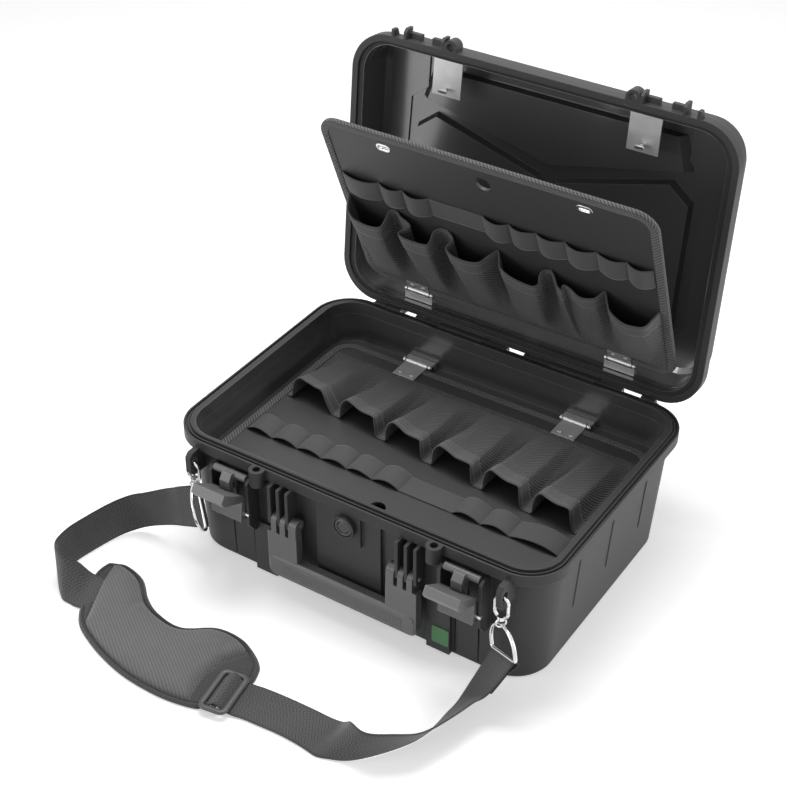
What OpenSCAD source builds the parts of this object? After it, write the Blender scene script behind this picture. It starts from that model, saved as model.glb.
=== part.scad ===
// Hard tool case with a hinged lid, two over-centre latches, a drop handle,
// two hinged tool boards and a padded shoulder strap. Millimetres, +Z up.
// The origin is the centre of the underside; the front is towards -Y.

/* [Case] */
// Width over the rim flange
case_w = 502; // [440:1:620]
// Depth over the rim flange
case_d = 353; // [310:1:440]
// Height of the base, floor to parting line
base_h = 166; // [156:1:200]
// Height of the lid above the parting line
lid_h = 60; // [54:1:84]
// Wall thickness of the shells
wall = 4; // [3:0.5:5]
// Corner radius of the flange in plan
corner_r = 50; // [40:1:60]
// Height of each flange
flange_h = 14; // [12:1:18]
// Overhang of the flange beyond the walls
overhang = 8.5; // [7.5:0.5:10]

/* [Lid] */
// Angle between the open and the closed lid, as the case is shown
lid_open = 95.6; // [85:0.1:100]
// Height of the sealing tongue
tongue_h = 2.5; // [2:0.5:4]
// Radius of the hinge knuckles
knuckle_r = 5.5; // [5:0.5:6]
// Diameter of the hinge pins
hinge_pin_d = 4; // [3:0.5:5]

/* [Latches] */
// Distance of each latch from the middle
latch_x = 153.5; // [148:0.5:158]
// Width of the latch between its ears
latch_w = 44; // [38:1:46]
// Travel of the claw
claw_travel = 38.5; // [38:0.5:39]
// Thickness of the latch ears
ear_t = 4; // [3:0.5:5]

/* [Handle] */
// Half of the width of the handle
handle_half = 100; // [96:1:101]
// Width of each handle arm
arm_w = 40; // [34:1:42]
// Height of the handle pivot above the floor
handle_z = 107; // [100:1:112]
// Diameter of the handle pins
handle_pin_d = 5; // [4:0.5:6]

/* [Tool boards] */
// Thickness of the tool boards
board_t = 4; // [3:0.5:5]
// Width of the base board
base_board_w = 446; // [380:1:446]
// Width of the lid board
lid_board_w = 430; // [370:1:436]
// Height of the lid board
lid_board_h = 289; // [250:1:292]
// Diameter of the board hinge pins
board_pin_d = 3; // [2.5:0.5:3.5]

/* [Shoulder strap] */
// Thickness of the webbing
web_t = 2.4; // [2:0.2:3]
// Thickness of the shoulder pad
pad_t = 17; // [12:1:20]
// Diameter of the hook wire
hook_wire = 4; // [3:0.5:4.5]

/* [Hidden] */
$fn = 64;
// Clearance of parts that turn or slide
run = 0.35;
// Clearance of a pin in its hole
pin_gap = 0.08;
// Overlap of shapes joined into one solid
weld = 1;
hw = case_w / 2;
hd = case_d / 2;
// Draft of the side walls and of the front and rear walls
draft_x = 9.5;
draft_y = 4;
body_w = case_w - 2 * overhang;
body_d = case_d - 2 * overhang;
body_r = corner_r - 2;
// Clear opening of both shells
mouth_w = case_w - 30;
mouth_d = case_d - 25;
mouth_r = corner_r - 12;
flange_z = base_h - flange_h;
lid_z = base_h + 0.3;
lid_top = base_h + lid_h;
// Front wall at the parting line
front_y = -body_d / 2;
// Tongue of the base and its groove in the lid
tongue_out = overhang;
groove_gap = 0.4;
seal_t = 2.6;
// Lid hinge
hinge_y = hd + 3.1;
hinge_z = base_h - 4;
knuckle_front = 6;
base_knuckles = [[-196, -178], [-134, -100], [-35, -1], [23, 57], [123, 157], [190, 200]];
lid_knuckles = [[-177.6, -158], [-99.6, -35.4], [57.4, 122.6], [182, 189.6]];
hinge_pins = [[-200, -158], [-134, -1], [23, 157], [182, 204]];
// Latches
latch_front = hd + 11.5;
ear_half = latch_w / 2 + 1.5;
ear_low = base_h - 92;
ear_high = base_h - 19;
bar_y = -(hd + 5.5);
bar_z = base_h - 20;
bar_r = 4.4;
lever_y = -(hd + 11);
lever_z = base_h - 67;
lever_pin_d = 5;
tab_w = 13;
slot_w = tab_w + 1.6;
lever_w = latch_w - 1;
lever_angle = 142;
// Strap lugs
lug_x = latch_x + 51.5;
lug_t = 7;
lug_front = hd + 18.5;
lug_hole_z = base_h - 22;
lug_hole_y = -(hd + 11);
lug_hole_r = 5.5;
// Padlock bosses
lock_x = 117;
lock_y = -(hd + 4.5);
lock_r = 9;
lock_hole_d = 9.2;
// Comb ribs and handle
rib_t = 4;
rib_x = [73, 85, 97];
rib_front = hd + 10.5;
handle_y = -(hd + 3.5);
finger_r = 8;
finger_x = [65.5, 79, 91];
finger_w = 7;
handle_front = hd + 12;
handle_back = hd + 0.5;
handle_low = handle_z - 81;
grip_high = handle_z - 50;
// Inner shelf and base board
shelf_z = base_h - 59;
shelf_t = 4.2;
board_top = base_h - 49.5;
base_hinge_y = mouth_d / 2 - 14.5;
base_hinge_z = board_top + 1.6;
// Distance of the board edge from the hinge axis, and of the board face below the axis
base_edge = 6;
lid_edge = 4.3;
board_drop = 1.6;
base_board_h = lid_board_h + 2;
board_corner = 26;
bind_w = 9;
bind_t = 0.8;
eyelet_x = 128.5;
eyelet_s = 268;
finger_s = 257;
// Ends of the loops of the elastic bands, from left to right
base_band_x = [-212, -176, -139, -103.5, -67.5, -32, 4.3, 40.6, 76.3, 113, 149.5, 212.5];
base_band_flat = [6, 7];
base_band_s = 190;
lid_band_x = [-204, -152, -119, -83, -45, -11, 24, 59, 96, 135, 172, 204];
lid_band_flat = [3, 4];
lid_band_s = 170;
band_w = 30;
band_t = 1.2;
band_clear = 3.6;
// Pocket seams and the length of each pocket
base_seams = [-211, -137, -66, 4, 77, 145, 213];
base_hems = [138, 146, 154, 162, 169, 175];
base_stitch = 35;
base_bulge = 31;
lid_seams = [-205.5, -138, -69, 0, 69, 138, 205.5];
lid_hems = [156, 149, 142, 136, 130, 124];
lid_stitch = 12;
lid_bulge = 26;
cloth_t = 1.4;
base_hinge_x = 113;
// Lid board, in the coordinates of the closed lid
lid_hinge_y = mouth_d / 2 - 14;
lid_hinge_z = lid_z + 11.7;
lid_hinge_x = 142;
lid_lean = 28;
barrel_r = 3.2;
// Strap
web_w = 50;
ring_wire = 4.4;
ring_half = 27;
ring_leg = 8;
hook_len = 40;
hook_half = 8;
barrel_w = 9;
eye_rad = 5.6;
pad_low = 0.6;
function unit(v) = v / norm(v);
// Part of v at right angles to b
function square_to(v, b) = unit(v - b * (v * b));
// Tilt of the left hook about X and about Y, and where its eye holds the ring
hook_tilt = [7.5, 4.6];
left_eye = [-lug_x, lug_hole_y, lug_hole_z] + hook_len * [-sin(hook_tilt[1]),
    sin(hook_tilt[0]) * cos(hook_tilt[1]), -cos(hook_tilt[0]) * cos(hook_tilt[1])];
left_along = unit([-0.481, 0.374, 0.792]);
left_bow = square_to([0.2, -0.66, 0.72], left_along);
left_bar = left_eye - left_along * ring_half - left_bow * ring_leg;
right_along = unit([0.79, -0.486, 0.374]);
right_bow = square_to([-0.288, 0.246, 0.926], right_along);
right_bar = [lug_x, lug_hole_y, lug_hole_z - hook_len] - right_bow * (ring_half + ring_leg);
// Distance of the webbing from the axis of the ring bar
web_seat = ring_wire / 2 + web_t / 2 + 0.3;
left_away = square_to([-1, -0.1, -0.55], left_along) * (web_seat - 0.9);
right_away = square_to([-0.3, -0.6, -0.74], right_along) * web_seat;
// Lower and upper edge of the webbing, left part then right part
strap_left_low = [left_bar - left_along * web_w / 2 + left_away, [-223, -190, 40], [-251, -185, 25],
    [-281, -187, 10], [-297, -197, 4], [-309, -217, 2], [-317, -252, 2], [-321, -282, 2], [-316, -312, 2],
    [-293, -334, 2], [-278, -336, 2.5], [-262.6, -334.4, 3]];
strap_left_high = [left_bar + left_along * web_w / 2 + left_away, [-236, -180, 86], [-258, -178, 73],
    [-286, -186, 60], [-303, -194, 54], [-315, -215, 51], [-323, -250, 51], [-327, -280, 51], [-322, -306, 50],
    [-303, -314, 44], [-292, -304, 32], [-282.3, -295.3, 14]];
strap_right_low = [right_bar - right_along * web_w / 2 + right_away, [180, -209, 12], [177, -228, 3],
    [176, -247, 3], [175, -272, 3], [167, -300, 3], [150, -329, 3], [128, -354, 3], [107, -364, 3],
    [80, -367, 2], [40, -368, 2], [2, -370, 2], [-39.6, -371, 2]];
strap_right_high = [right_bar + right_along * web_w / 2 + right_away, [214, -226, 37], [208, -245, 37],
    [203, -266, 38], [193, -298, 39], [184, -318, 42], [167, -334, 43], [142, -350, 43], [120, -344, 36],
    [90, -323, 8], [50, -318, 3], [2, -321, 2], [-23.2, -322, 2]];
pad_outer = [[-286, -262], [-283, -292], [-255, -348], [-217, -373], [-159, -391], [-103, -395], [-61, -389],
    [-48, -382], [-33, -350], [-25, -324], [-31, -301], [-77, -275], [-110, -277], [-144, -298], [-179, -295],
    [-205, -283], [-233, -260], [-265, -252]];
// Padded core of the shoulder pad, inside its flat border
pad_core = [[-276, -270], [-267, -292], [-243, -346], [-212, -364], [-157, -381], [-103, -385], [-66, -380],
    [-71, -360], [-73, -341], [-69, -319], [-58, -303], [-80, -285], [-108, -287], [-143, -308], [-181, -305],
    [-208, -293], [-236, -271], [-262, -263]];
border_t = 4;
buckle_t = 7;

// Flat outline of a rectangle with round corners
module plan(w, d, r) {
    square([w - 2 * r, d], center = true);
    square([w, d - 2 * r], center = true);
    for (x = [-1, 1]) for (y = [-1, 1]) translate([x * (w / 2 - r), y * (d / 2 - r)]) circle(r = r);
}
module block(w, d, h, r, z = 0) {
    translate([0, 0, z]) linear_extrude(h) plan(w, d, r);
}
module ring_block(w1, d1, r1, w2, d2, r2, h, z) {
    difference() {
        block(w1, d1, h, r1, z);
        block(w2, d2, h + 2, r2, z - 1);
    }
}
module box(x1, x2, y1, y2, z1, z2) {
    translate([x1, y1, z1]) cube([x2 - x1, y2 - y1, z2 - z1]);
}
// Extrusion along X of an outline in outward distance and height
module slab_x(x, w, pts) {
    translate([x - w / 2, 0, 0]) rotate([90, 0, 90]) linear_extrude(w) polygon([for (p = pts) [-p[0], p[1]]]);
}
module pin_x(x1, x2, y, z, r) {
    translate([x1, y, z]) rotate([0, 90, 0]) cylinder(r = r, h = x2 - x1);
}
module wire(a, b, r) {
    v = b - a;
    n = norm(v);
    translate(a) rotate([0, acos(v[2] / n), atan2(v[1], v[0])]) cylinder(r = r, h = n);
}
// Quarter or half of a round wire bend in the XZ plane
module bend(rad, r, from, sweep) {
    rotate([90, 0, 0]) rotate([0, 0, from]) rotate_extrude(angle = sweep) translate([rad, 0]) circle(r = r);
}
// Flat band between two edges, with its own thickness
module ribbon(low, high, t) {
    n = len(low);
    normals = [for (i = [0:n - 1]) let (a = max(i - 1, 0), b = min(i + 1, n - 1),
        c = cross(low[b] + high[b] - low[a] - high[a], high[i] - low[i])) c / norm(c)];
    pts = [for (i = [0:n - 1]) each [low[i] - normals[i] * t / 2, high[i] - normals[i] * t / 2,
        high[i] + normals[i] * t / 2, low[i] + normals[i] * t / 2]];
    sides = [for (i = [0:n - 2]) for (k = [0:3]) let (m = (k + 1) % 4)
        each [[4 * i + k, 4 * i + 4 + k, 4 * i + m], [4 * i + m, 4 * i + 4 + k, 4 * i + 4 + m]]];
    polyhedron(points = pts, faces = concat([[0, 1, 2], [0, 2, 3],
        [4 * n - 4, 4 * n - 2, 4 * n - 3], [4 * n - 4, 4 * n - 1, 4 * n - 2]], sides));
}
// Places the shapes of the closed lid where the lid stands open
module opened() {
    translate([0, hinge_y, hinge_z]) rotate([-lid_open, 0, 0]) translate([0, -hinge_y, -hinge_z]) children();
}
// The lid board leans forward from the open lid
module leaning() {
    opened() translate([0, lid_hinge_y, lid_hinge_z]) rotate([lid_lean, 0, 0])
        translate([0, -lid_hinge_y, -lid_hinge_z]) children();
}
// Right and left copy of a shape
module both() {
    children();
    mirror([1, 0, 0]) children();
}

module shell_outside() {
    hull() {
        block(body_w - 2 * draft_x - 6, body_d - 2 * draft_y - 6, 0.1, body_r - 6, 0);
        block(body_w - 2 * draft_x, body_d - 2 * draft_y, 0.1, body_r - 3, 4);
        block(body_w, body_d, 0.1, body_r, flange_z);
    }
    block(case_w, case_d, flange_h, corner_r, flange_z);
}
module shell_inside() {
    hull() {
        block(body_w - 2 * draft_x - 2 * wall, body_d - 2 * draft_y - 2 * wall, 0.1, body_r - 3 - wall, wall);
        block(mouth_w - 0.4, mouth_d - 0.4, 0.1, mouth_r - 0.2, flange_z);
    }
    block(mouth_w, mouth_d, flange_h + 20, mouth_r, flange_z);
}
module latch_ears() {
    for (s = [-1, 1]) slab_x(latch_x + s * (ear_half + ear_t / 2), ear_t,
        [[hd - 14, ear_low - 4], [hd + 1, ear_low - 4], [latch_front, ear_low + 10],
        [latch_front, ear_high - 4], [latch_front - 5, ear_high], [hd - 14, ear_high]]);
}
module lug(x) {
    slab_x(x, lug_t, [[hd - 14, base_h - 41], [lug_front - 5, base_h - 40], [lug_front, base_h - 34],
        [lug_front, base_h - 13], [lug_front - 5, base_h - 8], [hd - 14, base_h - 8]]);
}
// The padlock eyes are blocks of their own in both rims
module lock_zone(low, high) {
    both() box(lock_x - lock_r - 0.5, lock_x + lock_r + 0.5, lock_y - 2 * lock_r, -(hd - 5.5), low, high);
}
module base_shell() {
    difference() {
        base_moulding();
        lock_zone(flange_z - 7.1, base_h + 5);
    }
}
module base_padlock_eyes() {
    intersection() {
        base_moulding();
        lock_zone(flange_z - 7.1, base_h + 5);
    }
}
module base_moulding() {
    color([0.20, 0.205, 0.21]) difference() {
        union() {
            difference() {
                union() {
                    shell_outside();
                    // valve boss and front panel
                    box(-19, 19, -(hd - 1), -(hd - 14), base_h - 56, base_h - 1);
                    box(-43, 43, -(hd - 5), -(hd - 12), 10, flange_z + 1);
                    lug(lug_x);
                    lug(-lug_x);
                    both() {
                        translate([lock_x, lock_y, flange_z - 7]) cylinder(r = lock_r, h = base_h - flange_z + 7);
                        box(lock_x - lock_r, lock_x + lock_r, lock_y, -(hd - 14), flange_z - 7, base_h);
                        for (x = rib_x) slab_x(x, rib_t, [[hd - 14, handle_z - 14], [rib_front - 6, handle_z - 12],
                            [rib_front, handle_z - 5], [rib_front, flange_z + 1], [hd - 14, flange_z + 1]]);
                        latch_ears();
                        // bay beside the latch
                        box(103, 133, -(hd - 6), -(hd - 14), 4, base_h - 88);
                    }
                }
                shell_inside();
            }
            // tongue and shelf
            ring_block(case_w - 2 * tongue_out, case_d - 2 * tongue_out, corner_r - tongue_out,
                mouth_w, mouth_d, mouth_r, tongue_h + weld, base_h - weld);
            ring_block(mouth_w - 0.8, mouth_d - 0.4, mouth_r, mouth_w - 44, mouth_d - 46, mouth_r - 20,
                shelf_t, shelf_z);
            // hinge knuckles
            for (k = base_knuckles) {
                pin_x(k[0], k[1], hinge_y, hinge_z, knuckle_r);
                box(k[0], k[1], hd - 4, hinge_y, hinge_z - knuckle_r, base_h);
            }
        }
        // rim profile
        ring_block(case_w - 4.4, case_d - 4.4, corner_r - 2.2, case_w - 10, case_d - 10, corner_r - 5, 4, base_h - 3);
        ring_block(case_w - 12.4, case_d - 12.4, corner_r - 6.2, case_w - 2 * tongue_out, case_d - 2 * tongue_out,
            corner_r - tongue_out, 4, base_h - 1.5);
        // valve seat
        translate([0, -(hd + 1), base_h - 31]) rotate([-90, 0, 0]) cylinder(r = 9, h = 40);
        for (x = [lug_x, -lug_x]) pin_x(x - 9, x + 9, lug_hole_y, lug_hole_z, lug_hole_r);
        both() {
            translate([lock_x, lock_y, flange_z - 8]) cylinder(d = lock_hole_d, h = 40);
            for (x = [latch_x]) pin_x(x - 40, x + 40, lever_y, lever_z, lever_pin_d / 2);
            pin_x(55, 101, handle_y, handle_z, handle_pin_d / 2);
            // grooves of the front wall
            for (x = [137, 167]) box(x - 1.2, x + 1.2, -hd, front_y + draft_y + 1, 6, ear_low - 8);
        }
        // hinge pin holes and notches for the knuckles of the lid
        pin_x(-201, 205, hinge_y, hinge_z, hinge_pin_d / 2 + pin_gap / 3);
        for (k = lid_knuckles) box(k[0] - 0.4, k[1] + 0.4, hinge_y - knuckle_front - 0.6, hinge_y + 20, flange_z - 6, base_h + 9);
    }
}
module valve_body() {
    color([0.17, 0.17, 0.175]) difference() {
        union() {
            translate([0, -hd + 0.7, base_h - 31]) rotate([90, 0, 0]) cylinder(r = 14, h = 6);
            translate([0, -hd + 0.7, base_h - 31]) rotate([-90, 0, 0]) cylinder(r = 8.8, h = 22);
        }
        translate([0, -hd - 2.5, base_h - 31]) rotate([90, 0, 0]) cylinder(r = 12, h = 6);
        translate([0, -hd - 8, base_h - 31]) rotate([-90, 0, 0]) cylinder(r = 5, h = 40);
        translate([0, -hd + 17.5, base_h - 31]) rotate([-90, 0, 0]) cylinder(r = 7.2, h = 10);
    }
}
module valve_cap() {
    color([0.14, 0.14, 0.145]) difference() {
        translate([0, -hd - 2.6, base_h - 31]) rotate([90, 0, 0]) cylinder(r = 11.7, h = 3.2);
        for (a = [20:90:290]) translate([0, -hd, base_h - 31]) rotate([90, 0, 0]) rotate([0, 0, a])
            rotate_extrude(angle = 56) translate([9, -2]) square([1.8, 12]);
    }
}
module valve_nut() {
    color([0.12, 0.12, 0.12]) difference() {
        translate([0, -hd + 14.4, base_h - 31]) rotate([-90, 0, 0]) cylinder(r = 13, h = 5, $fn = 6);
        translate([0, -hd + 10, base_h - 31]) rotate([-90, 0, 0]) cylinder(r = 8.95, h = 14);
    }
}
module valve_membrane() {
    color([0.9, 0.9, 0.88]) translate([0, -hd + 17.8, base_h - 31]) rotate([-90, 0, 0]) cylinder(r = 7, h = 0.6);
}
module label_plate() {
    color([0.32, 0.55, 0.30]) translate([121.4, -(hd - 6) - 0.05, 27.5]) rotate([90, 0, 0])
        linear_extrude(0.8) plan(22, 24, 2.5);
}
module latch_pins() {
    color([0.75, 0.75, 0.75]) both()
        pin_x(latch_x - ear_half - ear_t - 0.5, latch_x + ear_half + ear_t + 0.5, lever_y, lever_z, lever_pin_d / 2 - 0.02);
}
module lid_hinge_pins() {
    color([0.7, 0.7, 0.7]) for (k = hinge_pins) pin_x(k[0], k[1], hinge_y, hinge_z, hinge_pin_d / 2);
}
// Fixed half of a board hinge: two eyes, a plate to the rear wall and a leg along that wall
module fixed_leaf(x, y, z, rear, low, high) {
    for (s = [-1, 1]) difference() {
        union() {
            pin_x(x + s * 18.5 - 1.5, x + s * 18.5 + 1.5, y, z, barrel_r);
            box(x + s * 18.5 - 1.5, x + s * 18.5 + 1.5, y, y + 6, z - 0.8, z + 0.8);
        }
        pin_x(x - 25, x + 25, y, z, board_pin_d / 2);
    }
    box(x - 20, x + 20, y + barrel_r + 1, rear, z - 0.8, z + 0.8);
    box(x - 20, x + 20, rear - 1.6, rear, low, high);
}
module base_pallet_brackets() {
    color([0.72, 0.73, 0.75]) both()
        fixed_leaf(base_hinge_x, base_hinge_y, base_hinge_z, mouth_d / 2 - 1.6, shelf_z + shelf_t, base_hinge_z + 0.8);
}
module base_pallet_pins() {
    color([0.7, 0.7, 0.7]) both()
        pin_x(base_hinge_x - 21, base_hinge_x + 21, base_hinge_y, base_hinge_z, board_pin_d / 2 - 0.02);
}
module handle_pins() {
    color([0.7, 0.7, 0.7]) both() pin_x(62, 100, handle_y, handle_z, handle_pin_d / 2 - 0.02);
}
// Wire hook hanging from a lug, with its swivel barrel and eye; the lug hole is at the origin
module hook_shape(turn) {
    top = -lug_hole_r + 1.2 + hook_wire / 2;
    r = hook_wire / 2;
    translate([0, 0, top - hook_half]) bend(hook_half, r, 0, 180);
    wire([-hook_half, 0, top - hook_half], [-hook_half, 0, top - 20.8], r);
    translate([0, 0, top - 20.8]) bend(hook_half, r, 180, 180);
    wire([hook_half, 0, top - 20.8], [hook_half, 0, top - 20], r);
    translate([0, 0, eye_rad - hook_len + 0.8]) cylinder(d = barrel_w, h = 5);
    translate([0, 0, -hook_len + 0.8]) rotate([0, 0, turn]) bend(eye_rad, 1.2, 0, 360);
}
module gate_shape() {
    top = -lug_hole_r + 1.2 + hook_wire / 2;
    wire([hook_half, 0, top - 19.6], [hook_half, 0, top - hook_half - 0.4], hook_wire / 2 - 0.2);
}
module at_left_hook() {
    translate([-lug_x, lug_hole_y, lug_hole_z]) rotate([hook_tilt[0], 0, 0]) rotate([0, hook_tilt[1], 0])
        mirror([1, 0, 0]) children();
}
module at_right_hook() {
    translate([lug_x, lug_hole_y, lug_hole_z]) children();
}
module snap_hook_left() {
    color([0.82, 0.82, 0.82]) at_left_hook() hook_shape(-22);
}
module snap_hook_right() {
    color([0.82, 0.82, 0.82]) at_right_hook() hook_shape(45);
}
module snap_gate_left() {
    color([0.78, 0.78, 0.78]) at_left_hook() gate_shape();
}
module snap_gate_right() {
    color([0.78, 0.78, 0.78]) at_right_hook() gate_shape();
}
// Ring with a straight bar of half length ring_half along b from the centre c and its bow along w
module ring_shape(c, b, w) {
    r = ring_wire / 2;
    n = cross(b, w);
    q = 3.5;
    multmatrix([[b[0], w[0], n[0], c[0]], [b[1], w[1], n[1], c[1]], [b[2], w[2], n[2], c[2]], [0, 0, 0, 1]]) {
        pin_x(q - ring_half, ring_half - q, 0, 0, r);
        translate([0, ring_leg, 0]) rotate_extrude(angle = 180) translate([ring_half, 0]) circle(r = r);
        for (s = [-1, 1]) {
            translate([s * ring_half, q, 0]) rotate([-90, 0, 0]) cylinder(r = r, h = ring_leg - q);
            translate([s * (ring_half - q), q, 0]) rotate([0, 0, s < 0 ? 180 : 270])
                rotate_extrude(angle = 90) translate([q, 0]) circle(r = r);
        }
    }
}
module ring_left() {
    color([0.82, 0.82, 0.82]) ring_shape(left_bar, left_along, left_bow);
}
module ring_right() {
    color([0.82, 0.82, 0.82]) ring_shape(right_bar, right_along, right_bow);
}
module strap_left() {
    color([0.13, 0.13, 0.135]) ribbon(strap_left_low, strap_left_high, web_t);
}
module strap_right() {
    color([0.13, 0.13, 0.135]) ribbon(strap_right_low, strap_right_high, web_t);
}
module shoulder_pad() {
    color([0.28, 0.28, 0.29]) translate([0, 0, pad_low]) {
        linear_extrude(border_t) polygon(pad_outer);
        linear_extrude(pad_t) polygon(pad_core);
    }
}
module strap_buckle() {
    color([0.08, 0.08, 0.08]) translate([-39, -355, pad_low + border_t + 0.3]) rotate([0, 0, 9]) difference() {
        translate([-17, -31, 0]) cube([34, 62, buckle_t]);
        translate([-12, -26.5, -1]) cube([9, 53, buckle_t + 2]);
        translate([3, -26.5, -1]) cube([9, 53, buckle_t + 2]);
    }
}

// Closed lid
module lid_catch() {
    x = latch_x;
    difference() {
        box(x - ear_half, x + ear_half, -(hd + 7.5), -(hd - 3), lid_z + 7.7, lid_z + flange_h - 0.3);
        box(x - slot_w / 2, x + slot_w / 2, -(hd + 20), -hd, lid_z, lid_z + 30);
    }
    for (s = [-1, 1]) slab_x(x + s * (ear_half + ear_t / 2), ear_t, [[hd - 3, lid_z], [hd + 9, lid_z],
        [hd + 13, lid_z + 4], [hd + 13, lid_z + flange_h], [hd - 3, lid_z + flange_h]]);
}
// Outlines of the raised fields of the lid
field_right = [[13, -33], [156, -72], [182, -52], [182, 112], [160, 132], [13, 132]];
field_left = [for (p = field_right) [-p[0], p[1]]];
field_front = [[-158, -131], [158, -131], [170, -92], [0, -53], [-170, -92]];
fields = [field_left, field_right, field_front];
// Edge of the lid's floor, where its margin steps up
floor_edge = [[-174, -146], [174, -146], [174, -104], [197, -86], [201, 100], [176, 140], [-176, 140], [-201, 100], [-197, -86], [-174, -104]];
field_h = 9;
function inset(pts, k) = let (m = [for (i = [0, 1]) (max([for (p = pts) p[i]]) + min([for (p = pts) p[i]])) / 2])
    [for (p = pts) m + (p - m) * k];
module lid_shell() {
    opened() difference() {
        lid_moulding();
        lock_zone(lid_z - 1, lid_z + flange_h + 5);
    }
}
module lid_padlock_eyes() {
    opened() intersection() {
        lid_moulding();
        lock_zone(lid_z - 1, lid_z + flange_h + 5);
    }
}
module lid_moulding() {
    color([0.20, 0.205, 0.21]) difference() {
        union() {
            difference() {
                union() {
                    block(case_w, case_d, flange_h, corner_r, lid_z);
                    hull() {
                        block(body_w, body_d, 0.1, body_r, lid_z + flange_h - 0.1);
                        block(body_w - 5, body_d - 4, 0.1, body_r - 2, lid_top - 10);
                        block(body_w - 11, body_d - 10, 0.1, body_r - 5, lid_top - 3);
                        block(body_w - 22, body_d - 21, 0.1, body_r - 10, lid_top - 0.1);
                    }
                }
                block(mouth_w, mouth_d, flange_h + 1, mouth_r, lid_z - 1);
                hull() {
                    block(mouth_w - 0.4, mouth_d - 0.4, 0.1, mouth_r - 0.2, lid_z + flange_h - 0.1);
                    block(mouth_w - 6, mouth_d - 5, 0.1, mouth_r - 3, lid_top - wall - 8);
                    block(mouth_w - 20, mouth_d - 19, 0.1, mouth_r - 10, lid_top - wall);
                }
            }
            // margin of the floor and the drafted fields
            difference() {
                block(mouth_w - 14, mouth_d - 13, 2 + weld, mouth_r - 7, lid_top - wall - 2);
                translate([0, 0, lid_top - wall - 3]) linear_extrude(6) polygon(floor_edge);
            }
            for (f = fields) hull() {
                translate([0, 0, lid_top - field_h - wall]) linear_extrude(0.1) polygon(f);
                translate([0, 0, lid_top - wall]) linear_extrude(0.1) polygon(inset(f, f == field_front ? 1.06 : 1.04));
            }
            both() {
                lid_catch();
                translate([lock_x, lock_y, lid_z]) cylinder(r = lock_r, h = flange_h);
                box(lock_x - lock_r, lock_x + lock_r, lock_y, -(hd - 3), lid_z, lid_z + flange_h);
                slab_x(lug_x - 9, ear_t, [[hd - 3, lid_z], [hd + 9, lid_z], [hd + 9, lid_z + 8], [hd - 3, lid_z + flange_h]]);
            }
            for (k = lid_knuckles) {
                pin_x(k[0], k[1], hinge_y, hinge_z, knuckle_r);
                box(k[0], k[1], hinge_y - knuckle_r, hinge_y + knuckle_r, hinge_z, lid_z + flange_h);
            }
        }
        // recesses outside, behind the fields
        for (f = fields) translate([0, 0, lid_top - field_h]) linear_extrude(20) polygon(inset(f, f == field_front ? 0.9 : 0.94));
        // groove of the tongue and of the seal
        ring_block(case_w - 2 * tongue_out + 2 * groove_gap, case_d - 2 * tongue_out + 2 * groove_gap,
            corner_r - tongue_out + groove_gap, mouth_w - 10, mouth_d - 10, mouth_r - 5, tongue_h + 1.3, lid_z - 1);
        ring_block(case_w - 2 * tongue_out - 0.6, case_d - 2 * tongue_out - 0.6, corner_r - tongue_out - 0.3,
            mouth_w + 1, mouth_d + 1, mouth_r + 0.5, seal_t + 2.5, lid_z);
        both() translate([lock_x, lock_y, lid_z - 5]) cylinder(d = lock_hole_d, h = 40);
        pin_x(-201, 205, hinge_y, hinge_z, hinge_pin_d / 2 + pin_gap);
        for (k = base_knuckles) pin_x(k[0] - 0.4, k[1] + 0.4, hinge_y, hinge_z, knuckle_r + 0.6);
    }
}
module lid_seal() {
    color([0.05, 0.05, 0.05]) opened() ring_block(case_w - 2 * tongue_out - 1, case_d - 2 * tongue_out - 1,
        corner_r - tongue_out - 0.5, mouth_w + 1.4, mouth_d + 1.4, mouth_r + 0.7, seal_t, lid_z + tongue_h - 0.05);
}
// Lid brackets that hold the board up, with their turn locks
lock_s_y = lid_hinge_y - lid_edge - eyelet_s;
bracket_z = lid_hinge_z + board_drop + board_t + bind_t + 0.4;
module lid_brackets() {
    color([0.74, 0.75, 0.77]) opened() both() difference() {
        union() {
            box(eyelet_x - 19.5, eyelet_x + 19.5, -(mouth_d / 2 - 1.4), lock_s_y + 9, bracket_z, bracket_z + 2);
            box(eyelet_x - 19.5, eyelet_x + 19.5, -(mouth_d / 2 - 1.4), -(mouth_d / 2 - 3.4), bracket_z, bracket_z + 10);
        }
        translate([eyelet_x, lock_s_y, bracket_z - 5]) cylinder(d = 4, h = 20);
    }
}
module turn_lock() {
    opened() translate([eyelet_x, lock_s_y, 0]) {
        translate([0, 0, bracket_z - 7.4]) cylinder(d = 3.4, h = 11);
        translate([0, 0, bracket_z - 10.4]) linear_extrude(3.4) plan(11.6, 3.8, 1.85);
        translate([0, 0, bracket_z + 2.3]) cylinder(d = 8, h = 1.5);
    }
}
module turn_lock_right() {
    color([0.7, 0.7, 0.72]) turn_lock();
}
module turn_lock_left() {
    color([0.7, 0.7, 0.72]) mirror([1, 0, 0]) turn_lock();
}
module lid_pallet_brackets() {
    color([0.72, 0.73, 0.75]) opened() both()
        fixed_leaf(lid_hinge_x, lid_hinge_y, lid_hinge_z, mouth_d / 2 - 1, lid_hinge_z - 0.8, lid_hinge_z + 8);
}
module lid_pallet_pins() {
    color([0.7, 0.7, 0.7]) opened() both()
        pin_x(lid_hinge_x - 21, lid_hinge_x + 21, lid_hinge_y, lid_hinge_z, board_pin_d / 2 - 0.02);
}

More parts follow.
